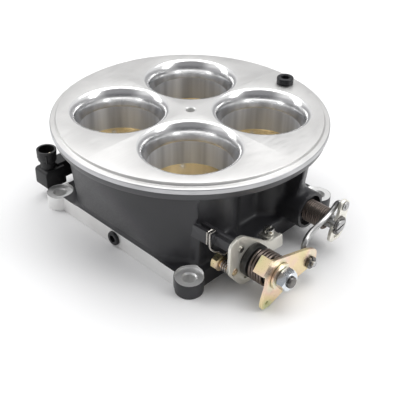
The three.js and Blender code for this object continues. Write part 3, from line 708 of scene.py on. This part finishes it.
edge_tools = []
for z_low, z_high, finish in ((-5, FLANGE_TOP_Z, BRIGHT_EDGE),
                              (FLANGE_TOP_Z, FLANGE_TOP_Z + 6, BLACK_COAT)):
    edge_tools.append(faced(beyond_flange(FRONT_EDGE_END_X, -FLANGE_HALF, z_low, z_high), finish))
    edge_tools.append(faced(beyond_flange(-EAR_OFFSET, EAR_FACE_END_Y, z_low, z_high), finish))
cut(casting,
    faced(block((-120, -120, -10), (120, 120, 0)), BRIGHT_EDGE),
    *edge_tools,
    faced(plate(SENSOR_PAD, -120, SENSOR_PAD_X), SPOT_FACE),
    faced(block((-120, 23, 5), (SENSOR_PAD_X + 0.8, 47, 34)), BLACK_COAT),
    faced(block((BOSS_END_X, PRIMARY_Y - 12, 5), (BOSS_END_X + 12, PRIMARY_Y + 12, 35)), BLACK_COAT),
    faced(block((CUP_END_X, -20, 0), (CUP_END_X + 10, 60, 40)), BLACK_COAT))

print("faced:", len(casting.data.polygons), "faces")

# %% [markdown]
# Holes for the shafts, bolts, plugs and screws are drilled last. A bolt's seat is a spot face
# with a bevelled corner, and its hole is chamfered, so each is cut with a turned profile.

# %% Holes and seats
BEARING_POCKET_R = 7
SPOT_FACE_R = 9.9
EAR_HOLE_R = 4.25
STUD_HOLE_R = 3.3
ABOVE_EARS = 22
drills = []
for y, pocket_x in ((PRIMARY_Y, 69), (SECONDARY_Y, 70)):
    drills += [bar("X", -100, 100, (y, SHAFT_Z), SHAFT_R + GAP, sides=64),
               bar("X", pocket_x, 90, (y, SHAFT_Z), BEARING_POCKET_R, sides=64),
               bar("X", -90, -69, (y, SHAFT_Z), BEARING_POCKET_R, sides=64)]
cut(casting, *[faced(tool, BORED) for tool in drills])
cut(casting, faced(bar("X", CUP_FLOOR_X, 95, CUP_AT, CUP_INNER_R), BLACK_COAT))
for at in ears:
    seat = turned([(0, EAR_TOP_Z), (SPOT_FACE_R - 0.7, EAR_TOP_Z), (SPOT_FACE_R, EAR_TOP_Z + 0.7),
                   (SPOT_FACE_R, ABOVE_EARS), (0, ABOVE_EARS)], 96, at)
    cut(casting, faced(seat, SPOT_FACE))
    hole = turned([(0, -5), (EAR_HOLE_R, -5), (EAR_HOLE_R, EAR_TOP_Z - 1), (EAR_HOLE_R + 1, EAR_TOP_Z),
                   (EAR_HOLE_R + 1, ABOVE_EARS), (0, ABOVE_EARS)], 64, at)
    cut(casting, faced(hole, SPOT_FACE))
top_plug = (19, 80.5)
front_plug = (-1.7, 6.2)
stud_hole = turned([(0, TOP_Z - 20), (STUD_HOLE_R, TOP_Z - 18), (STUD_HOLE_R, TOP_Z - 0.6),
                    (STUD_HOLE_R + 0.6, TOP_Z), (STUD_HOLE_R + 0.6, TOP_Z + 9), (0, TOP_Z + 9)], 64)
cut(casting,
    faced(stud_hole, SPOT_FACE),
    faced(bar("Z", TOP_Z - 9, TOP_Z + 5, top_plug, 4.8, sides=64), SPOT_FACE),
    faced(bar("Y", -80, -62, front_plug, 5.5, sides=64), SPOT_FACE),
    *[faced(bar("X", -90, -70, (PRIMARY_Y, z), 2.2, sides=32), SPOT_FACE) for z in (4.8, 37.2)])
hand_over(casting, "body_casting", "housing", nodes=["main_body"], smooth=28)

# %% [markdown]
# ## Plugs
# Two port plugs with hexagon sockets close the vacuum ports. The top one is a turned profile with
# a rounded shoulder, and the front one is a bar with softened ends. Six-sided bars cut the sockets.

# %% Port plugs
def top_port_plug():
    x, y = top_plug
    seat, crown, r = TOP_Z + GAP, high("top_port_plug")[2], 6.25
    plug = turned([(0, seat - 8), (4.3, seat - 8), (4.3, seat), (r - 0.5, seat), (r, seat + 0.5)]
                  + arc((r - 1.1, crown - 1.1), 1.1, 0, 90) + [(0, crown)], 96, (x, y))
    socket = bar("Z", seat + 0.8, crown + 2, (x, y), 3.5, sides=6)
    mouth_low, mouth_high = crown - 0.5, crown + 0.2
    mouth = turned([(0, mouth_low), (3.3, mouth_low), (4.0, mouth_high), (0, mouth_high)], 64, (x, y))
    return cut(plug, socket, mouth)


def front_port_plug():
    x, z = front_plug
    face = low("front_port_plug")[1]
    plug = bar("Y", face, -63, (x, z), 5.2)
    soften(plug, 0.7, 4, 60)
    return cut(plug, bar("Y", face - 3, face + 4.5, (x, z), 2.9, sides=6))


for name, plug in (("top_port_plug", top_port_plug()), ("front_port_plug", front_port_plug())):
    hand_over(soften(plug, 0.12, 2, 50), name + "_fine", "housing", BLACK_OXIDE)

# %% [markdown]
# ## Shafts and blades
# Each shaft is half cut away through its bores, and a brass blade lies on that flat. A blade is
# the slice of a bore that its own tilted plane cuts, so its rim fits the closed bore all round.

# %% Shafts
FLAT_HALF = BORE_R + 0.5
SCREW_OFFSET = 13
BLADE_THICK = 1.6


def flats_cut(shaft, y):
    for x in (-BORE_OFFSET, BORE_OFFSET):
        cut(shaft, block((x - FLAT_HALF, y - 8, SHAFT_Z - GAP / 2), (x + FLAT_HALF, y + 8, SHAFT_Z + 8)))
    return tilt(shaft, CLOSED, y)


def primary_shaft():
    start, end = ends("primary_shaft")
    shaft = bar("X", start, 112.7, ON_PRIMARY, SHAFT_R)
    soften(shaft, 0.4, 2, 60)
    stud = bar("X", 100, end, ON_PRIMARY, STUD_R)
    soften(stud, 1.1, 4, 60)
    for k in range(6):                       # the last threads, past the nut
        x = end - 1.6 - 0.9 * k
        ring = bar("X", x - 0.28, x + 0.28, ON_PRIMARY, STUD_R + 2)
        cut(ring, bar("X", x - 1, x + 1, ON_PRIMARY, STUD_R - 0.3))
        cut(stud, ring)
    return join(flats_cut(shaft, PRIMARY_Y), stud)


def secondary_shaft():
    start, end = ends("secondary_shaft")
    shaft = bar("X", start, end, ON_SECONDARY, SHAFT_R)
    soften(shaft, 0.45, 3, 60)
    slot = block((end - 1.5, SECONDARY_Y - 6, SHAFT_Z - 0.7), (end + 1, SECONDARY_Y + 6, SHAFT_Z + 0.7))
    return flats_cut(cut(shaft, slot), SECONDARY_Y)


hand_over(primary_shaft(), "primary_shaft_fine", "primary", DARK_STEEL)
hand_over(secondary_shaft(), "secondary_shaft_fine", "secondary", BRIGHT_STEEL)


# %% Blades
def blade(x, y):
    slab = block((x - 40, y - 40, SHAFT_Z + GAP / 2), (x + 40, y + 40, SHAFT_Z + GAP / 2 + BLADE_THICK))
    return common(tilt(slab, CLOSED, y), bar("Z", 0, 50, (x, y), BORE_R - 0.45, sides=144))


for body, y in (("primary", PRIMARY_Y), ("secondary", SECONDARY_Y)):
    for side, x in (("left", -BORE_OFFSET), ("right", BORE_OFFSET)):
        hand_over(soften(blade(x, y), 0.12, 1, 50), f"{body}_blade_{side}_fine", body, BRASS)


# %% [markdown]
# Blade screws have low domed heads with a cross slot, and their shanks end inside the shaft.

# %% Blade screws
def blade_screw(x, y):
    seat = SHAFT_Z + GAP / 2 + BLADE_THICK + 0.1
    dome = [(3.3, seat), (3.3, seat + 0.5), (2.9, seat + 1.2), (2.1, seat + 1.7), (1, seat + 1.88),
            (0, seat + 1.9)]
    screw = turned([(0, SHAFT_Z - 3.6), (1.5, SHAFT_Z - 3.6), (1.5, seat)] + dome, 48, (x, y))
    for wide, long in ((0.35, 2.2), (2.2, 0.35)):
        cut(screw, block((x - wide, y - long, seat + 0.8), (x + wide, y + long, seat + 3)))
    return tilt(screw, CLOSED, y)


for body, y in (("primary", PRIMARY_Y), ("secondary", SECONDARY_Y)):
    spots = [bore + side for bore in (-BORE_OFFSET, BORE_OFFSET)
             for side in (-SCREW_OFFSET, SCREW_OFFSET)]
    for i, x in enumerate(spots):
        name = f"{body}_blade_screw_{i + 1}_fine"
        hand_over(blade_screw(x, y), name, body, SCREW_STEEL)


# %% [markdown]
# ## Throttle lever
# The lever is blanked from 2.2 mm plate and zinc plated. Its outline is drawn with rounded
# corners. Its tab for the idle screw points inwards: a block joined square to the plate.

# %% Lever plate and tab
LEVER_X = 89
LEVER_THICK = 2.2
CABLE_HOLE = (-45.5, 34)
LOWER_HOLE = (-38.5, 8.5)
LEVER_BOLT = (-50, 18)
IDLE_X, IDLE_Y = 84.5, -10
TAB_Z = 22


def throttle_lever():
    x0, x1 = LEVER_X, LEVER_X + LEVER_THICK
    lever = plate([(-55.5, 41, 4), (-46, 45, 5), (-17, 24.5, 3), (-3.5, 24.2, 1.5), (-2, 13.5, 2),
                   (-19, 14.5, 4), (-30.5, 1.5, 4), (-43.5, 3, 5), (-55.5, 18, 4)], x0, x1)
    tab = block((IDLE_X - 4.5, IDLE_Y - 5, TAB_Z), (x0 + 1.1, IDLE_Y + 5, TAB_Z + LEVER_THICK))
    join(lever, tab)
    cut(lever, bar("X", 80, 100, ON_PRIMARY, SHAFT_R + GAP),
        bar("X", 80, 100, CABLE_HOLE, 2.3, sides=48),
        bar("X", 80, 100, LOWER_HOLE, 2.1, sides=48),
        bar("X", 80, 100, LEVER_BOLT, 2.8, sides=48),
        bar("Z", 10, 40, (IDLE_X, IDLE_Y), 2.4, sides=48))
    return soften(lever, 0.3, 2, 40)


hand_over(throttle_lever(), "throttle_lever_fine", "primary", BRIGHT_ZINC)


# %% [markdown]
# The cable stud is riveted through the lever. The idle screw has a slotted cheese head, and a
# hexagon nut locks it under the tab.

# %% Cable stud, idle screw and nut
def threads(x, y, z_low, z_high, r, pitch=0.8):
    """Grooves for a screw that stands along Z."""
    rings = []
    count = int((z_high - z_low) / pitch)
    for k in range(count):
        z = z_low + pitch * (k + 0.5)
        ring = bar("Z", z - pitch * 0.22, z + pitch * 0.22, (x, y), r + 1, sides=32)
        cut(ring, bar("Z", z - 1, z + 1, (x, y), r - 0.25, sides=32))
        rings.append(ring)
    return rings


def cable_stud():
    x0 = LEVER_X
    stud = bar("X", x0 - 1, x0 + LEVER_THICK + 0.8, CABLE_HOLE, 2, sides=64)
    join(stud, bar("X", x0 - 2.2, x0 - GAP, CABLE_HOLE, 3.4, sides=64))
    return soften(stud, 0.35, 3, 50)


def idle_screw():
    seat, bottom = TAB_Z + LEVER_THICK, low("idle_screw")[2]
    screw = turned([(0, bottom), (1.5, bottom), (2.1, bottom + 0.6), (2.1, seat + GAP), (3.4, seat + GAP),
                    (3.7, seat + 0.7)] + arc((3.2, seat + 3.7), 0.5, 0, 90) + [(0, seat + 4.2)],
                   64, (IDLE_X, IDLE_Y))
    slot = block((IDLE_X - 0.6, IDLE_Y - 5, seat + 2.6), (IDLE_X + 0.6, IDLE_Y + 5, seat + 6))
    cut(screw, slot, *threads(IDLE_X, IDLE_Y, bottom + 0.8, TAB_Z - 3.2, 2.1))
    return screw


def hexagon(axis, start, end, at, across_flats, turn=0.0, chamfer=0.5):
    """A hexagon bar whose corners are turned back to a cone at both ends."""
    corner = across_flats / math.sqrt(3)
    nut = bar(axis, start, end, at, corner, sides=6)
    if turn:
        about = Matrix.Translation(Vector((0, at[0], at[1])) * MM)
        nut.matrix_world = about @ Matrix.Rotation(turn, 4, "X") @ about.inverted()
        set_in_place(nut)
    whole = bar(axis, start + chamfer, end - chamfer, at, corner + 0.05)
    edge = across_flats / 2 * 0.97
    return common(nut, join(whole,
                            bar(axis, start, start + chamfer, at, edge, corner + 0.05),
                            bar(axis, end - chamfer, end, at, corner + 0.05, edge)))


nut_top = TAB_Z - GAP
idle_nut = hexagon("Z", nut_top - 2.8, nut_top, (IDLE_X, IDLE_Y), 7.5)
cut(idle_nut, bar("Z", 10, 30, (IDLE_X, IDLE_Y), 2.4, sides=48))
hand_over(cable_stud(), "cable_stud_fine", "primary", SCREW_STEEL)
hand_over(idle_screw(), "idle_screw_fine", "primary", SCREW_STEEL)
hand_over(idle_nut, "idle_screw_nut_fine", "primary", NUT_ZINC)


# %% [markdown]
# The stop bolt at the lever's end is yellow-plated, with a flanged hexagon head and a small
# spring under it that keeps it from turning.

# %% Lever bolt and its spring
def lever_bolt():
    head = hexagon("X", 74, 78.8, LEVER_BOLT, 9.5, turn=0.3)
    washer = bar("X", 78.6, 79.6, LEVER_BOLT, 5.2, sides=64)
    soften(washer, 0.2, 2, 50)
    shank = bar("X", 79, high("lever_bolt")[0], LEVER_BOLT, 2.5, sides=64)
    soften(shank, 0.5, 2, 50)
    bolt = join(head, washer, shank)
    for k in range(7):
        x = 84.5 + 0.9 * k
        ring = bar("X", x - 0.2, x + 0.2, LEVER_BOLT, 4, sides=32)
        cut(ring, bar("X", x - 1, x + 1, LEVER_BOLT, 2.25, sides=32))
        cut(bolt, ring)
    dish = bar("X", 73.5, 74.5, LEVER_BOLT, 3.2, 2.6, sides=48)
    return cut(bolt, dish)


hand_over(lever_bolt(), "lever_bolt_fine", "primary", YELLOW_ZINC)
hand_over(wire(coil(80.7, *LEVER_BOLT, 3.2, 4, 1.75), 0.5), "lever_bolt_spring_fine", "primary",
          SPRING_STEEL)

# %% [markdown]
# ## Springs
# The return spring winds round the boss's bush and ends in a leg hooked over the cast lug. The
# secondary's spring is smaller, and the pick-up spring sits between the throttle lever and the
# link lever.

# %% Return and pick-up springs
RETURN_WIRE_R = 0.7
leg_low_x, leg_high_x = 73.2, 75.4
leg_y, leg_top = -57.9, 44.1
return_leg = [(79.8, -48.4, 25), (78.6, -52.4, 28.4), (77, -56.4, 31), (75.8, leg_y, 34.2),
              (leg_high_x, leg_y, leg_top - 1), (leg_high_x, leg_y + 0.3, leg_top - 0.3),
              (leg_high_x, leg_y + 1, leg_top), (leg_high_x - 0.1, -53.8, leg_top),
              ((leg_low_x + leg_high_x) / 2, -52.6, leg_top),
              (leg_low_x + 0.1, -53.8, leg_top), (leg_low_x, leg_y + 1, leg_top),
              (leg_low_x, leg_y + 0.3, leg_top - 0.3), (leg_low_x, leg_y, leg_top - 1),
              (leg_low_x, leg_y, 35)]
return_coil = coil(87.6, PRIMARY_Y, SHAFT_Z, 10.7, 3.5, -1.95)
return_path = return_coil[:-6] + smooth_path([return_coil[-6]] + return_leg)
hand_over(wire(return_path, RETURN_WIRE_R), "primary_return_spring_fine", "housing",
          SPRING_STEEL)
hand_over(wire(coil(83.4, SECONDARY_Y, SHAFT_Z, 7.4, 10.6, 1.62), 0.68), "secondary_return_spring_fine",
          "housing", BRONZE_WIRE)
hand_over(wire(coil(98.2, PRIMARY_Y, SHAFT_Z, 10.5, 5, 2.25, 0.25), 1.0), "pickup_spring_fine", "primary",
          BRONZE_WIRE)


# %% [markdown]
# Two black bushes fill the springs' coils. Each is a bar with the shaft's hole through it, and
# the outer one has a wide collar at its inner end.

# %% Bushes
def bush(node, body, radii):
    start, end = ends(node)
    piece = bar("X", start, end, ON_PRIMARY, radii[0])
    if len(radii) > 1:
        join(piece, bar("X", start, start + 4.7, ON_PRIMARY, radii[1]))
    cut(piece, bar("X", start - 5, end + 5, ON_PRIMARY, SHAFT_R + GAP))
    hand_over(soften(piece, 0.35, 3, 50), node + "_fine", body, BUSH_PLASTIC)


bush("return_spring_bushing", "housing", [9.3])
bush("spring_bushing", "primary", [9, 11.5])

# %% [markdown]
# ## Link lever, washer and nut
# The link lever carries the rod. Its upper left edge is folded inwards, and yellow chromate
# gives it its drifting colours. A hexagon nut holds the stack on the shaft's stud.

# %% Link lever
LINK_X = 113
LINK_THICK = 2.2
link_face = LINK_X + LINK_THICK


def link_lever():
    lever = plate([(-43, 37, 2), (-6, 26, 4), (3.5, 21, 4), (3.5, 10, 5), (-12, 8.5, 3), (-28, 5.5, 3),
                   (-43.5, 0.6, 3.5), (-51.5, 1.5, 4), (-50.5, 9, 2), (-47.5, 18, 2), (-47, 25, 1),
                   (-51, 28.5, 1)], LINK_X, link_face)
    fold = plate([(-43, 37, 0), (-51, 28.5, 0), (-52.4, 29.8, 0), (-44.4, 38.3, 0)],
                 LINK_X - 6, link_face)
    join(lever, fold)
    cut(lever, bar("X", 100, 130, ON_PRIMARY, STUD_R + GAP),
        bar("X", 100, 130, ROD_LOW, 2.4, sides=48),
        bar("X", 100, 130, (-46.3, 5.4), 1.4, sides=48))
    return soften(lever, 0.3, 2, 40)


def shaft_nut():
    start, end = ends("shaft_nut")
    nut = hexagon("X", start, end, ON_PRIMARY, 13.4, chamfer=1.2)
    return cut(nut, bar("X", 100, 130, ON_PRIMARY, STUD_R + 0.1, sides=64))


def lock_washer():
    start, end = ends("lock_washer")
    washer = bar("X", start, end, ON_PRIMARY, 9.3)
    cut(washer, bar("X", start - 5, end + 5, ON_PRIMARY, STUD_R + GAP))
    return soften(washer, 0.35, 3, 50)


hand_over(link_lever(), "link_lever_fine", "primary", YELLOW_ZINC)
hand_over(lock_washer(), "lock_washer_fine", "primary", YELLOW_ZINC)
hand_over(shaft_nut(), "shaft_nut_fine", "primary", NUT_ZINC)

# %% [markdown]
# ## Link rod
# A 4 mm rod, bent in three planes, joins the link lever to the secondary lever. A push-on clip
# keeps its lower end in the link lever.

# %% Rod and clip
ROD_HIGH = (40, 34.5)
ROD_END_X = 105.9
rod_path = smooth_path([
    (119.4, *ROD_LOW), (114, *ROD_LOW), (110.6, ROD_LOW[0], ROD_LOW[1] + 0.8), (109, -3, 20),
    (107.4, 1, 25.4), (105.6, 9, 27), (104, 20, 26.6), (103.4, 30, 28.4), (103.4, 36, 31.4),
    (103.4, 38.6, 33.3), (104.2, *ROD_HIGH),
    (ROD_END_X, *ROD_HIGH)])
hand_over(soften(wire(rod_path, 2.0, 6), 0.3, 2, 60), "link_rod_fine", "rod", BRIGHT_STEEL)
clip_low, clip_high = ends("link_rod_clip")
rod_clip = bar("X", clip_low, clip_high, ROD_LOW, 4.3, sides=72)
cut(rod_clip, bar("X", clip_low - 2, clip_high + 2, ROD_LOW, 2.3, sides=48),
    block((clip_low - 1, ROD_LOW[0] - 0.6, ROD_LOW[1]),
          (clip_high + 1, ROD_LOW[0] + 0.6, ROD_LOW[1] + 6)))
hand_over(soften(rod_clip, 0.25, 2, 50), "link_rod_clip_fine", "rod", DARK_STEEL)

# %% [markdown]
# ## Secondary lever
# A thicker, narrower lever with a rounded top where the rod enters, and a slot below its shaft.

# %% Secondary lever and clip
def secondary_lever():
    start, end = ends("secondary_lever")
    lever = plate([(27, 17.5, 4), (27, 9, 4), (40, 8.5, 5), (43.5, 17, 3.5), (44, 26, 3), (45.9, 35, 2.9),
                   (41.5, 39.4, 2.9), (35.6, 38, 2.6), (34.5, 29, 3)], start, end)
    cut(lever, bar("X", 100, 120, ON_SECONDARY, SHAFT_R + GAP, sides=64),
        bar("X", 100, 120, ROD_HIGH, 2.7, sides=48),
        block((100, 31.5, 11.2), (120, 37.5, 13.4)))
    return soften(lever, 0.3, 2, 40)


def secondary_clip():
    start, end = ends("secondary_lever_clip")
    clip = bar("X", start, end, ON_SECONDARY, 6.8)
    cut(clip, bar("X", start - 2, end + 2, ON_SECONDARY, SHAFT_R + GAP),
        block((start - 1, SECONDARY_Y - 8, SHAFT_Z - 1), (end + 1, SECONDARY_Y, SHAFT_Z + 1)))
    return soften(clip, 0.2, 2, 50)


def rod_end_pin():
    start, end = ends("rod_end_pin")
    pin = bar("X", start, end, ROD_HIGH, 2, sides=64)
    clip = bar("X", end - 1.7, end - 0.8, ROD_HIGH, 3.5, sides=64)
    return join(soften(pin, 0.4, 3, 50), soften(clip, 0.25, 2, 50))


hand_over(secondary_lever(), "secondary_lever_fine", "secondary", BRIGHT_ZINC)
hand_over(rod_end_pin(), "rod_end_pin_fine", "secondary", BRIGHT_STEEL)
hand_over(secondary_clip(), "secondary_lever_clip_fine", "secondary", DARK_STEEL)

# %% [markdown]
# ## Throttle position sensor
# A moulded housing on the primary shaft's left end, with an upright round socket on an arm. It
# is modelled as drum, arm, foot and socket, joined and rounded. A ring groove and a shallow dish
# are then cut in the drum's end.

# %% Sensor housing
SENSOR_X = high("tps_housing")[0] - 2
SENSOR_OUT = low("tps_housing")[0]
SOCKET_X, SOCKET_Y = -85.5, -65
SENSOR_SCREWS = (4.8, 37.2)
SOCKET_FLOOR_Z = 31
SOCKET_BORE_R = 5.9
DRUM_R = 12.5


def sensor_housing():
    mount = plate([(-42, 0.6, 5), (-28, 0.6, 5), (-28, 41.4, 6), (-42, 41.4, 6)], SENSOR_X - 4, SENSOR_X)
    drum = bar("X", SENSOR_OUT, SENSOR_X, ON_PRIMARY, DRUM_R)
    soften(drum, 1.0, 4, 60)
    arm = block((SENSOR_OUT + 1, -60, 12), (SENSOR_X - 0.5, -40, 26))
    foot = plate([(-72.5, 9, 3), (-55, 9, 1), (-55, 24, 1), (-72.5, 24, 3)],
                 SENSOR_OUT + 1, SENSOR_X + 2)
    neck = bar("Z", 20, SOCKET_FLOOR_Z, (SOCKET_X, SOCKET_Y), 5.6)
    socket = turned([(0, 29.4), (6, 29.4), (6.9, 30.6), (7.1, 34), (7.4, 38.4), (7.4, 39), (0, 39)], 96,
                    (SOCKET_X, SOCKET_Y))
    housing = join(mount, drum, arm, foot, neck, socket)
    for turn in (-0.9, 0.9):                 # two keys on the socket's outside
        at = (SOCKET_X + 7.1 * math.sin(turn), SOCKET_Y - 7.1 * math.cos(turn))
        join(housing, bar("Z", 31, 37, at, 0.7, sides=24))
    housing = soften(housing, 0.45, 3, 40)
    cut(housing, bar("X", SENSOR_X - 9.5, SENSOR_X + 2, ON_PRIMARY, 7.2),
        bar("Z", SOCKET_FLOOR_Z, 42, (SOCKET_X, SOCKET_Y), SOCKET_BORE_R, sides=72))
    groove = bar("X", SENSOR_OUT - 1, SENSOR_OUT + 0.8, ON_PRIMARY, 10.4)
    cut(groove, bar("X", SENSOR_OUT - 2, SENSOR_OUT + 2, ON_PRIMARY, 9.2))
    cut(housing, groove, bar("X", SENSOR_OUT - 1, SENSOR_OUT + 0.6, ON_PRIMARY, 3.6, 3.2))
    for z in SENSOR_SCREWS:
        cut(housing, bar("X", -90, -75, (PRIMARY_Y, z), 2.2, sides=32))
    return housing


def sensor_screw(z):
    seat = SENSOR_X - 4 - GAP
    head = bar("X", seat - 2.6, seat, (PRIMARY_Y, z), 3.3, sides=64)
    soften(head, 0.6, 3, 50)
    screw = join(head, bar("X", seat - 1, -72, (PRIMARY_Y, z), 1.9, sides=48))
    return cut(screw, bar("X", seat - 4, seat - 1.3, (PRIMARY_Y, z), 1.7, sides=6))


hand_over(sensor_housing(), "tps_housing_fine", "housing", SENSOR_PLASTIC)
for i, z in enumerate(SENSOR_SCREWS):
    hand_over(sensor_screw(z), f"tps_screw_{i + 1}_fine", "housing", SCREW_STEEL)
for i in range(3):
    node = f"tps_terminal_{i + 1}"
    pin = block(low(node), high(node))
    hand_over(soften(pin, 0.25, 2, 50), node + "_fine", "housing", TINNED)

# %% [markdown]
# ## Carried-over nodes
# Bearings, seals, the end plug and the sensor's rotor are plain parts, and most are hidden. Their
# CAD shape is right, so they only get their finish.

# %% Inner pieces
for name, node in frame["nodes"].items():
    if node.hide_render:
        continue
    if "bearing" in name:
        material = BRIGHT_STEEL
    elif "seal" in name:
        material = SEAL_RUBBER
    elif name == "secondary_end_plug":
        material = NUT_ZINC
    else:
        material = SENSOR_PLASTIC
    node.data.materials.clear()
    node.data.materials.append(material)
    print("kept node", name)

# %% [markdown]
# ## Studio
# A pale floor, a broad soft sky and three softboxes, with the camera in front, to the right.

# %% Floor
def studio_floor():
    clear_selection()
    bpy.ops.mesh.primitive_grid_add(x_subdivisions=8, y_subdivisions=8, size=6, location=(0, 0, -0.0002))
    floor = bpy.context.object
    floor.name = "studio_floor"
    material, tree, shader = start_finish("floor_paper")
    grain = noise_over(tree, 3, detail=2)
    tree.links.new(shades(tree, grain, [(0.3, (0.93, 0.93, 0.93)), (0.7, (0.95, 0.95, 0.95))]),
                   shader.inputs["Base Color"])
    shader.inputs["Roughness"].default_value = 0.6
    floor.data.materials.append(material)


studio_floor()

# %% [markdown]
# The polished mouths need something to mirror, so the sky is brightest overhead and has a darker
# band low down, as a studio's walls do. A darker patch behind the camera gives the bores' far
# walls something dark to mirror.

# %% Sky and lamps
DARK_PATCH_TOWARDS = (0.60, -0.55, 0.58)
world = bpy.data.worlds.new("studio")
bpy.context.scene.world = world
world.use_nodes = True
sky = world.node_tree
where = add(sky, "ShaderNodeTexCoord")
split = add(sky, "ShaderNodeSeparateXYZ")
sky.links.new(where.outputs["Generated"], split.inputs["Vector"])
glow = shades(sky, split.outputs["Z"], [
    (0.0, (0.60, 0.60, 0.61)), (0.10, (0.42, 0.42, 0.43)), (0.32, (0.52, 0.52, 0.53)),
    (0.45, (0.95, 0.95, 0.96)), (1.0, (1.0, 1.0, 1.0))])
towards = add(sky, "ShaderNodeVectorMath", operation="DOT_PRODUCT")
towards.inputs[1].default_value = DARK_PATCH_TOWARDS
sky.links.new(where.outputs["Generated"], towards.inputs[0])
dark_wall = shades(sky, towards.outputs["Value"], [(0.62, (1, 1, 1)), (0.86, (0.34, 0.34, 0.35))])
shaded = add(sky, "ShaderNodeMix", data_type="RGBA", blend_type="MULTIPLY")
shaded.inputs["Factor"].default_value = 1
sky.links.new(glow, shaded.inputs[6])
sky.links.new(dark_wall, shaded.inputs[7])
sky.links.new(shaded.outputs[2], sky.nodes["Background"].inputs["Color"])
sky.nodes["Background"].inputs["Strength"].default_value = 0.85


def softbox(name, at, towards, size, power):
    lamp = bpy.data.lights.new(name, "AREA")
    lamp.shape = "RECTANGLE"
    lamp.size, lamp.size_y = size
    lamp.energy = power
    holder = bpy.data.objects.new(name, lamp)
    bpy.context.scene.collection.objects.link(holder)
    holder.location = at
    holder.rotation_euler = (Vector(towards) - Vector(at)).to_track_quat("-Z", "Y").to_euler()


softbox("softbox_top", (-0.15, 0.25, 1.1), (0, 0, 0.03), (1.3, 1.0), 8)
softbox("softbox_left", (-1.0, -0.5, 0.7), (0, 0, 0.04), (0.5, 0.9), 3.5)
softbox("softbox_right", (0.9, 0.5, 0.8), (0, 0, 0.04), (0.4, 0.7), 3.5)

# %% [markdown]
# The camera stands to the front right, a little over half a metre away, looking down 35 degrees.

# %% Camera
AZIMUTH, ELEVATION, ROLL = (math.radians(a) for a in (43.71, 34.79, 1.226))
AIM_Z = 40
DISTANCE = 546.49
SHIFT_RIGHT, SHIFT_DOWN = 8.00, 29.22
LENS = 67.65
camera = bpy.data.objects.new("camera", bpy.data.cameras.new("camera"))
bpy.context.scene.collection.objects.link(camera)
back = Vector((math.sin(AZIMUTH) * math.cos(ELEVATION), -math.cos(AZIMUTH) * math.cos(ELEVATION),
               math.sin(ELEVATION)))
right = Vector((math.cos(AZIMUTH), math.sin(AZIMUTH), 0))
up = back.cross(right)
across = right * math.cos(ROLL) + up * math.sin(ROLL)
upright = up * math.cos(ROLL) - right * math.sin(ROLL)
stand = (Vector((0, 0, AIM_Z)) + back * DISTANCE + right * SHIFT_RIGHT - up * SHIFT_DOWN) * MM
turn = Matrix((across, upright, back)).transposed().to_4x4()
camera.matrix_world = Matrix.Translation(stand) @ turn
camera.data.sensor_width = 36
camera.data.lens = LENS
bpy.context.scene.camera = camera
bpy.context.scene.view_settings.view_transform = "Standard"
